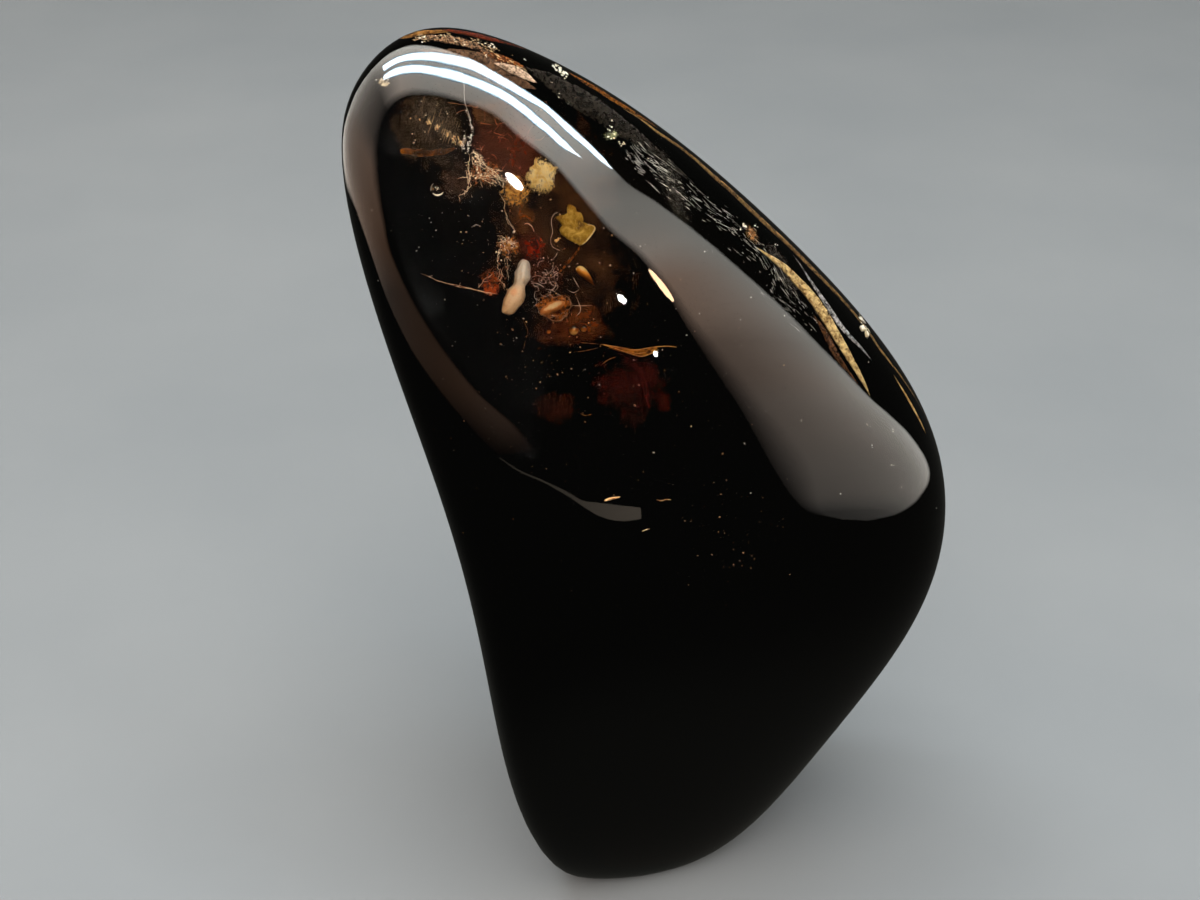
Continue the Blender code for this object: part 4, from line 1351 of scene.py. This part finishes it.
BANDS = (                        # name, directions, depth, width, fullest, dark, light, patch, cover
    ("gold_streak", GOLD_STREAK, 0.55, 0.74, 0.75, (0.16, 0.09, 0.028), (0.74, 0.57, 0.28), 0.3, 0.65),
    ("streak_border", STREAK_SHADE, 0.75, 0.45, 0.9, (0.03, 0.012, 0.006), (0.11, 0.045, 0.014), 0.3, 0.6),
    ("painted_edge_glow", PAINTED_EDGE_GLOW, 0.12, 0.70, 0.7, (0.050, 0.025, 0.008), (0.22, 0.13, 0.050), 0.3, 0.7),
    ("painted_lower_glow", PAINTED_LOWER_GLOW, 0.35, 0.24, 0.9, (0.22, 0.11, 0.03), (0.60, 0.40, 0.18), 0.4, 0.8),
    ("crown_streak", ORANGE_LINE, 0.42, 0.50, 0.8, (0.04, 0.010, 0.002), (0.32, 0.125, 0.014), 0.25, 0.6),
    ("pale_lines", PALE_LINE, 0.30, 0.38, 1.4, (0.06, 0.06, 0.065), (0.50, 0.49, 0.52), 0.2, 0.45),
    ("gold_rim", GOLD_RIM, 0.30, 0.55, 0.9, (0.08, 0.03, 0.005), (0.42, 0.21, 0.055), 0.25, 0.9),
    ("red_rim", RED_RIM, 0.15, 0.70, 0.9, (0.045, 0.007, 0.002), (0.16, 0.022, 0.004), 0.4, 1.0),
    ("crown_haze", CROWN_HAZE, 0.42, 0.62, 0.9, (0.06, 0.03, 0.018), (0.50, 0.31, 0.19), 0.18, 0.30),
    ("tan_line", TAN_LINE, 0.42, 0.60, 0.9, (0.20, 0.13, 0.09), (0.78, 0.60, 0.46), 0.22, 0.55),
    ("crown_ground", CROWN_GROUND, 0.90, 1.50, 0.9, (0.03, 0.015, 0.009), (0.19, 0.11, 0.065), 0.3, 0.75),
    ("crown_veil", CROWN_VEIL, 0.80, 1.50, 0.9, (0.006, 0.0055, 0.005), (0.026, 0.024, 0.022), 0.4, 0.6),
    ("brown_line", BROWN_LINE, 0.55, 0.50, 0.9, (0.08, 0.02, 0.006), (0.34, 0.11, 0.02), 0.22, 0.5),
)
for name, stops, depth, width, fullest, dark, light, size, cover in BANDS:
    band = Heap()
    path = shoulder_path(stops, depth, BAND_STEPS)
    band.strand(path, leaf_width(width, fullest), BAND_THICK, VIEWER_SIDE, 8)
    band.piece(name, patchy_finish(name, dark, light, size, cover, 0.0, 0.95, 0.3), "amber")

# %% [markdown]
# ## Patches, chips and flecks
# Between the bands lie hazes of finer cracks, told as ragged films on patches of the skin. Chips
# are clumps of flat pale crumbs, each clump told by its direction, its spread, how many crumbs
# it has and how big the biggest may be. Flecks are short strokes along the crown.

# %% Patches of the shoulder and the crown
CHIP_GREEN = ((0.06, 0.07, 0.04), (0.26, 0.28, 0.16))
PATCHES = (                      # name, direction, outline, depth, colours, patch size, cover
    ("shoulder_brown", (96.1, 47.9), ((-0.5, 0.6), (0.3, 0.7), (0.7, 0.1), (0.2, -0.9), (-0.4, -0.3)),
     0.55, ((0.08, 0.04, 0.015), (0.30, 0.15, 0.05)), 0.3, 0.7),
    ("shoulder_haze", (93, 40), ((-1.0, 3.2), (0.3, 3.4), (1.1, 0.6), (0.6, -2.8), (-0.5, -3.0),
                                 (-1.1, 0.0)),
     0.9, ((0.02, 0.02, 0.02), (0.09, 0.09, 0.09)), 0.25, 0.5),
    ("shoulder_green", (111.5, 73.4), ((-0.8, 0.0), (0.0, 0.5), (0.8, 0.0), (0.0, -0.5)), 0.5,
     CHIP_GREEN, 0.3, 0.6),
    ("scratch_haze", (101, 63), ((-1.0, 3.6), (0.6, 3.6), (1.2, 0.2), (0.9, -3.8), (-0.6, -3.8),
                                 (-1.2, 0.0)),
     0.9, ((0.01, 0.01, 0.01), (0.035, 0.035, 0.032)), 0.35, 0.6),
    ("left_chip", (-100.8, 73.8), ((-0.7, 0.0), (-0.2, 0.35), (0.6, 0.2), (0.6, -0.3), (-0.3, -0.4)),
     0.5, ((0.20, 0.16, 0.10), (0.70, 0.60, 0.42)), 0.35, 0.6),
)
for name, direction, rim, depth, colours, size, cover in PATCHES:
    film_piece(name, rim, depth, colours, size, cover, 0.9, skin_patch(*direction), 0.15)

# %% Chips and flecks
CHIPS = (                        # direction, spread, how many, biggest crumb
    ((153.0, 76.1), .14, 14, .24), ((148.9, 76.4), .14, 14, .24), ((144.2, 77.2), .12, 8, .14),
    ((96.3, 25.0), .20, 14, .42), ((94.3, 24.6), .20, 14, .50), ((96.9, 49.9), .14, 8, .16),
    ((98.5, 48.0), .12, 5, .12), ((96.7, 43.5), .06, 3, .10), ((111.5, 73.4), .22, 8, .12),
    ((-126.4, 77.1), .16, 6, .12), ((-143.0, 79.3), .12, 4, .10), ((-167.1, 80.2), .14, 8, .16),
    ((-159.7, 81.9), .10, 3, .10), ((-147.2, 80.0), .10, 3, .10), ((-135.8, 78.1), .12, 4, .10),
    ((-158.4, 80.0), .10, 3, .10), ((135.9, 79.9), .08, 3, .10), ((129.3, 79.1), .08, 3, .10),
    ((145.3, 80.0), .08, 2, .09), ((113.7, 73.4), .08, 3, .10), ((108.0, 72.0), .14, 8, .12),
    ((104.4, 67.7), .10, 4, .10), ((167.3, 80.2), .08, 2, .09), ((117.1, 73.2), .08, 2, .09),
    ((94.4, 54.6), .10, 5, .10), ((86.8, 54.3), .05, 2, .08), ((79.2, 42.3), .04, 1, .08),
    ((84.6, 36.7), .05, 2, .08), ((83.9, 43.4), .04, 1, .08), ((80.1, 14.7), .10, 4, .12),
    ((78.5, 11.5), .08, 2, .08), ((79.1, 7.4), .14, 4, .08), ((78.2, 3.6), .10, 2, .07),
    ((70.1, 6.4), .05, 1, .07), ((72.8, 21.0), .05, 2, .07), ((83.1, -2.6), .08, 2, .07),
    ((82.4, 11.8), .08, 3, .08), ((-100.8, 73.8), .20, 7, .08),
)
CROWN_FLECKS = (                 # direction, spread, how many
    ((-129.0, 76.6), .34, 26), ((-141.0, 78.6), .34, 22), ((-156.0, 79.8), .34, 26),
    ((-166.0, 80.6), .30, 22), ((-176.0, 81.6), .30, 16), ((168.0, 81.8), .30, 10),
)
chips = Heap()
for direction, spread, count, biggest in CHIPS:
    place = skin_patch(*direction)
    for _ in range(count):
        size = biggest * dice.uniform(0.25, 1.0)
        spot = place(dice.gauss(0, spread), dice.gauss(0, spread), 0.08 + size * 0.5)
        chips.grain(spot + VIEWER_SIDE * 0.08, size, dice, 0.4, VIEWER_SIDE)
crown_flecks = Heap()
for direction, spread, count in CROWN_FLECKS:
    place = skin_patch(*direction)
    for _ in range(count):
        foot = place(dice.gauss(0, spread), dice.gauss(0, spread * 0.7), dice.uniform(0.3, 0.6))
        way = VIEWER_SIDE.cross(skin_normal(foot)).normalized() * dice.choice((-1, 1))
        way = (way + Vector([dice.uniform(-0.5, 0.5) for _ in range(3)])).normalized()
        tip = foot + way * (0.08 + 0.5 * dice.random() ** 3)
        crown_flecks.strand([foot, (foot + tip) / 2, tip], dice.uniform(0.03, 0.12), 0.03, VIEWER_SIDE, 5)
crown_flecks.piece("crown_flecks", bright_finish("crown_fleck", (0.12, 0.04, 0.012), (0.95, 0.72, 0.42),
                                                 0.22, 0.3, 0.3), "amber")
chips.piece("chips", bright_finish("chip", (0.50, 0.42, 0.26), (1.0, 1.0, 0.92), 0.4, 0.2, 0.3),
            "pale_pellet")

# %% [markdown]
# ## Scratches of the shoulder
# Hundreds of pale scratches run along the shoulder in one broad stream. Each starts near a place
# of the stream, keeps roughly to its way, and is laid back on the skin at every step.

# %% Scratches of the shoulder
SCRATCHES = 300
SCRATCH_DEPTH = 0.14
SPECKS = 40
SPECK_DEPTH = 0.2
scratches = Heap()
SCRATCH_RUN = ((108.1, 71.1), (104.2, 69.3), (101.6, 66.0), (98.5, 60.9), (96.4, 56.2), (95.4, 51.9),
               (94.0, 48.0), (92.6, 44.8), (89.0, 40.7), (87.2, 35.9), (86.0, 30.0))
run = shoulder_path(SCRATCH_RUN, 0.0, 24)
for _ in range(SCRATCHES):
    i = dice.randrange(2, len(run) - 12)
    ahead = (run[i + 8] - run[i]).normalized()
    side = skin_normal(run[i]).cross(ahead)
    start = run[i] + side * dice.gauss(0.0, 0.5)
    way = (ahead + side * dice.gauss(0.0, 0.12)).normalized()
    length = dice.uniform(0.12, 0.4) + 0.9 * dice.random() ** 5
    path = [skin.find_nearest(start + way * (length * k / 3))[0] for k in range(4)]
    path = [spot - skin_normal(spot) * SCRATCH_DEPTH for spot in path]
    scratches.strand(path, dice.uniform(0.008, 0.026), 0.02, skin_normal(start), 4)
for _ in range(SPECKS):
    i = dice.randrange(2, len(run) - 2)
    spot = run[i] + skin_normal(run[i]).cross(run[i + 1] - run[i]).normalized() * dice.gauss(0.0, 0.4)
    normal = skin_normal(spot)
    spot = skin.find_nearest(spot)[0] - normal * SPECK_DEPTH
    scratches.grain(spot, dice.uniform(0.02, 0.05), dice, 0.5, normal)
scratches.piece("scratches", bright_finish("scratch", (0.07, 0.07, 0.06), (0.95, 0.92, 0.86),
                                           0.7, 0.0, 0.4), "pale_pellet")

# %% [markdown]
# ## The table
# A polished black stone shows mostly what stands round it. A plain pale table top carries it,
# and it is kept out of the polish, which a table that big would flood with grey. Pieces that
# only set the scene are handed to the stage, so that they don't count as the part.

# %% Table top
def stage_piece(name, corners, faces, material):
    mesh = bpy.data.meshes.new(name)
    mesh.from_pydata(corners, [], faces)
    mesh.materials.append(material)
    mesh.shade_smooth()
    piece = bpy.data.objects.new(name, mesh)
    bpy.context.collection.objects.link(piece)
    return piece


TABLE_REACH = 3.0
TABLE_DARK = (0.066, 0.069, 0.071)
TABLE_LIGHT = (0.076, 0.078, 0.079)


def table_finish():
    finish = Finish("table")
    mottle = finish.clouds(45.0, detail=6.0)
    tone = finish.ramp(mottle, (0.30, TABLE_DARK), (0.70, TABLE_LIGHT))
    finish.set(base_color=tone, roughness=0.9)
    return finish.material


table_corners = [(x * TABLE_REACH, y * TABLE_REACH, 0.0)
                 for x, y in ((-1, -1), (1, -1), (1, 1), (-1, 1))]
table = stage_piece("table", table_corners, [(0, 1, 2, 3)], table_finish())
table.visible_glossy = False
table.visible_transmission = False
print("table:", 2 * TABLE_REACH, "m across")

# %% [markdown]
# ## A light tent
# The light is laid out as a jeweller's tent: one white cloth bent into a horseshoe that runs up
# on the right, over the top and down on the left, while the camera's side stays open and dark.
# The cloth glows most at its top and fades towards its two ends. Each edge of the cloth is a
# line of directions from the stone, so moving one corner moves one edge of the reflection. An
# area lamp could only be an oval or a rectangle, so the cloth is a mesh that gives light.

# %% Glowing cloth
LIGHT_MIDDLE = Vector((-4.0, -4.0, 40.0)) * MM
CLOTH_REACH = 0.60               # metres from the stone
ACROSS_STEPS = 14                # faces from one edge of a band to the other


def glow_finish(name, strength):
    """A surface that gives light, as bright as its corners say."""
    finish = Finish(name)
    glow = finish.node("Attribute", {"attribute_name": "glow"}, {}, output="Color")
    finish.set(base_color=(0.0, 0.0, 0.0), emission_color=glow, emission_strength=strength)
    return finish.material


def glow_band(name, reach, rows, steps, strength, shade):
    """A band between two lines of directions, at a reach in metres.

    Each row starts with a direction of the one edge and a direction of the other. A call of
    shade(row, across) gives the colour of the glow: row counts the rows, across runs from 0 to 1.
    """
    near, far = (smooth_path([facing(*row[k]) for row in rows], steps) for k in (0, 1))
    corners, glows, faces = [], [], []
    for i, (a, b) in enumerate(zip(near, far)):
        for j in range(ACROSS_STEPS + 1):
            across = j / ACROSS_STEPS
            way = a.normalized().slerp(b.normalized(), across)
            corners.append(LIGHT_MIDDLE + way * reach)
            glows.append((*shade(i / steps, across), 1.0))
            if i and j:
                last = len(corners) - 1
                above = last - ACROSS_STEPS - 1
                faces.append((above - 1, above, last, last - 1))
    piece = stage_piece(name, corners, faces, glow_finish(name, strength))
    colours = piece.data.color_attributes.new("glow", "FLOAT_COLOR", "POINT")
    for spot, glow in zip(colours.data, glows):
        spot.color = glow
    piece.visible_camera = False
    piece.visible_shadow = False
    print(f"{name}: {len(faces)} glowing faces")


# %% The tent
TENT = (                         # inner edge, outer edge, glow inside and outside, brown likewise
    ((51.8, 5.8), (58.8, 1.2), 0.40, 0.35, 0.1, 0.1),
    ((47.0, 10.5), (72.7, -3.3), 0.30, 0.85, 0.1, 0.1),
    ((45.1, 15.1), (92.3, -6.8), 0.9, 2.4, 0.25, 0.15),
    ((43.8, 21.3), (110.3, -8.6), 1.1, 3.6, 0.3, 0.05),
    ((42.9, 26.2), (100.0, 4.6), 1.1, 5.0, 0.4, 0.0),
    ((42.2, 29.3), (86.7, 16.4), 1.1, 5.0, 0.45, 0.0),
    ((41.3, 32.0), (79.8, 22.1), 1.0, 5.0, 0.6, 0.0),
    ((40.8, 34.0), (72.6, 30.9), 1.25, 3.9, 0.65, 0.0),
    ((40.6, 35.6), (69.5, 36.1), 2.2, 3.9, 0.7, 0.0),
    ((40.9, 38.0), (65.9, 40.2), 2.9, 3.4, 0.75, 0.0),
    ((40.9, 39.9), (63.2, 43.4), 3.9, 3.3, 0.35, 0.0),
    ((39.8, 41.6), (59.6, 46.2), 3.1, 3.0, 0.1, 0.05),
    ((40.3, 44.2), (56.8, 48.0), 3.6, 2.2, 0.0, 0.1),
    ((41.5, 47.7), (62.5, 52.4), 4.4, 6.0, 0.0, 0.0),
    ((40.8, 50.7), (70.3, 57.4), 5.5, 8.0, 0.25, 0.0),
    ((40.6, 55.0), (78.9, 63.0), 3.2, 8.0, 0.05, 0.0),
    ((34.0, 58.4), (94.8, 70.3), 4.0, 7.5, 0.2, 0.0),
    ((19.4, 62.0), (157.1, 77.7), 3.8, 7.5, 0.1, 0.0),
    ((-8.1, 62.6), (-142.9, 55.2), 4.5, 7.5, 0.35, 0.0),
    ((-24.9, 56.1), (-129.4, 31.4), 0.3, 4.0, 0.3, 0.05),
    ((-28.8, 45.8), (-127.3, 6.9), 0.45, 4.1, 0.45, 0.05),
    ((-28.2, 37.7), (-142.7, -16.0), 1.7, 2.5, 0.8, 0.05),
    ((-28.2, 30.6), (-95.3, -5.0), 1.1, 2.5, 0.9, 0.55),
    ((-29.1, 26.4), (-75.6, 0.1), 0.7, 1.8, 1.0, 0.6),
    ((-20.5, 25.8), (-63.6, 1.2), 0.42, 0.5, 0.9, 0.5),
    ((-10.7, 26.8), (-45.1, 8.0), 0.38, 0.4, 1.0, 0.8),
    ((0.3, 28.4), (-25.3, 16.5), 0.48, 0.2, 1.0, 1.0),
    ((12.5, 30.0), (-12.4, 21.0), 0.4, 0.05, 0.9, 0.9),
    ((17.6, 29.2), (-1.4, 23.8), 0.03, 0.03, 0.9, 0.9),
)
TENT_STEPS = 6                   # faces from one row to the next
SOFT_EDGE = 0.07                 # how much of the cloth's width fades out at each edge


def tent_shade(row, across):
    """Glow between two rows of the tent; brown cloth gives back half its green and less blue."""
    first = min(int(row), len(TENT) - 2)
    share = row - first
    glow_in, glow_out, brown_in, brown_out = (
        TENT[first][k] * (1 - share) + TENT[first + 1][k] * share for k in (2, 3, 4, 5))
    glow = glow_in + (glow_out - glow_in) * across
    brown = brown_in + (brown_out - brown_in) * across
    glow *= min(1.0, across / SOFT_EDGE + 0.1, (1.0 - across) / SOFT_EDGE + 0.1)
    return (glow, glow * (0.99 - 0.44 * brown), glow * (0.91 - 0.58 * brown))


glow_band("tent", CLOTH_REACH, TENT, TENT_STEPS, 1.0, tent_shade)

# %% [markdown]
# ## Two tubes and a low strip
# A tube lamp is narrow and far brighter than cloth, so it burns out to white in the middle and
# stays a cool blue at its edges. The two tubes hang a little nearer than the cloth and taper to
# a point on the right. A narrow strip of the same dull cloth low in front draws a thin grey
# line where the front face rolls under.

# %% Tubes and low strip
TUBE_REACH = 0.56
TUBE_STEPS = 8
TUBE_STRENGTH = 33.0
TUBE_FADE = 4.0                  # a quarter of the width fades out at each edge
OUTER_TUBE = (                   # upper edge, lower edge
    ((-113.6, 55.4), (-91.7, 63.8)), ((-119.3, 68.3), (-85.0, 75.5)), ((-143.1, 82.0), (-17.8, 84.7)),
    ((127.0, 82.9), (46.9, 79.2)), ((105.9, 77.2), (56.7, 74.1)), ((101.3, 71.9), (65.1, 69.9)),
    ((88.7, 68.2), (64.9, 66.0)), ((80.6, 64.2), (64.2, 62.3)), ((76.4, 61.4), (63.7, 59.7)),
    ((73.0, 58.9), (64.4, 57.8)), ((68.6, 56.7), (60.9, 55.4)), ((65.4, 54.7), (58.2, 53.4)),
    ((62.6, 52.8), (57.5, 51.8)), ((60.4, 51.0), (56.2, 50.1)), ((57.6, 49.4), (56.8, 49.2)),
)
INNER_TUBE = (
    ((-84.4, 63.9), (-67.4, 65.2)), ((-74.2, 75.0), (-38.0, 73.0)), ((-7.5, 82.2), (4.1, 74.5)),
    ((38.1, 77.1), (28.0, 70.6)), ((52.7, 72.7), (38.6, 66.9)), ((58.2, 68.0), (45.9, 63.9)),
    ((61.1, 64.9), (49.2, 61.3)), ((62.0, 61.9), (51.3, 59.0)), ((59.9, 58.9), (51.2, 56.5)),
    ((57.2, 56.3), (50.1, 54.2)), ((55.2, 54.1), (49.7, 52.6)), ((53.4, 52.1), (48.8, 50.7)),
    ((52.0, 50.8), (49.8, 50.1)), ((51.3, 49.9), (51.0, 49.7)),
)
LOW_STRIP = (                    # upper edge, lower edge
    ((-0.1, 24.1), (-0.6, 23.8)), ((7.2, 25.4), (6.8, 25.1)), ((15.4, 26.3), (15.0, 26.0)),
    ((21.2, 25.8), (20.9, 25.3)), ((24.6, 24.5), (24.2, 23.6)), ((27.2, 24.0), (26.5, 21.8)),
    ((29.9, 23.0), (29.2, 20.2)), ((31.5, 22.0), (31.2, 19.9)),
)


def tube_shade(row, across):
    """White in the middle, fading to a cool blue along the two edges."""
    glow = min(1.0, 0.05 + TUBE_FADE * across, 0.05 + TUBE_FADE * (1.0 - across))
    return (glow * (0.50 + 0.34 * glow), glow * (0.78 + 0.16 * glow), glow)


def strip_shade(row, across):
    glow = 0.25 + 0.75 * row / (len(LOW_STRIP) - 1)
    return (glow, glow * 0.84, glow * 0.66)


glow_band("outer_tube", TUBE_REACH, OUTER_TUBE, TUBE_STEPS, TUBE_STRENGTH, tube_shade)
glow_band("inner_tube", TUBE_REACH, INNER_TUBE, TUBE_STEPS, TUBE_STRENGTH, tube_shade)
glow_band("low_strip", CLOTH_REACH, LOW_STRIP, TUBE_STEPS, 1.0, strip_shade)

# %% [markdown]
# ## The camera
# A 50 mm lens looks down on the stone at 30 degrees, from as near as a hand lens would be held.

# %% Camera
CAMERA_TARGET = Vector((-4.1, -3.3, 35.5)) * MM
CAMERA_DISTANCE = 0.1079
CAMERA_ELEVATION = 30.0
lens = bpy.data.cameras.new("camera")
lens.lens = 50.0
lens.sensor_width = 36.0
lens.clip_start = 0.001
camera = bpy.data.objects.new("camera", lens)
camera.location = CAMERA_TARGET + facing(0.0, CAMERA_ELEVATION) * CAMERA_DISTANCE
camera.rotation_euler = (math.radians(90.0 - CAMERA_ELEVATION), 0.0, 0.0)
bpy.context.collection.objects.link(camera)
bpy.context.scene.camera = camera
print("camera:", round(CAMERA_DISTANCE / MM), "mm away,", CAMERA_ELEVATION, "degrees up")

# %% [markdown]
# ## Lamps and room
# A broad soft lamp above the front lights what lies inside the amber. It is left out of the
# polish, where it would show as a white disc. Four small lamps do the opposite: they show as
# sparks in the polish and light nothing else. The room itself is nearly dark.

# %% Lamps and room
def round_lamp(name, direction, reach, size, glow, colour=(1.0, 1.0, 1.0), height=None):
    """A round or oval lamp in a direction from the stone; glow is its brightness."""
    light = bpy.data.lights.new(name, "AREA")
    light.shape = "DISK" if height is None else "ELLIPSE"
    light.size = size
    area = math.pi * (size / 2) ** 2
    if height is not None:
        light.size_y = height
        area = math.pi * size * height / 4
    light.energy = glow * area * math.pi
    light.color = colour
    lamp = bpy.data.objects.new(name, light)
    way = facing(*direction)
    lamp.location = LIGHT_MIDDLE + way * reach
    lamp.rotation_euler = way.to_track_quat("Z", "Y").to_euler()
    bpy.context.collection.objects.link(lamp)
    lamp.visible_camera = False
    print(f"{name}: {light.energy * 1000:.1f} mW")
    return lamp


fill = round_lamp("fill", (0.0, 50.0), 0.6, 0.55, 21.0, (1.0, 0.97, 0.93))
fill.visible_glossy = False
SPARKS = (                       # direction, width, height, glow, colour
    ("spark_top", (32.5, 45.0), 0.0105, 0.0150, 60.0, (1.0, 1.0, 1.0)),
    ("spark_low", (35.6, 37.1), 0.0045, 0.0045, 50.0, (1.0, 1.0, 1.0)),
    ("spark_sliver", (36.2, 34.1), 0.0028, 0.0028, 50.0, (1.0, 1.0, 1.0)),
    ("spark_warm", (41.0, 38.0), 0.0065, 0.019, 36.0, (1.0, 0.64, 0.36)),
)
for name, direction, width, height, glow, colour in SPARKS:
    spark = round_lamp(name, direction, 0.5, width, glow, colour, height)
    spark.visible_diffuse = False

ROOM_GLOW = (0.034, 0.034, 0.030, 1.0)
world = bpy.data.worlds.new("room")
world.use_nodes = True
world.node_tree.nodes["Background"].inputs["Color"].default_value = ROOM_GLOW
world.node_tree.nodes["Background"].inputs["Strength"].default_value = 1.0
bpy.context.scene.world = world
bpy.context.scene.view_settings.view_transform = "Standard"
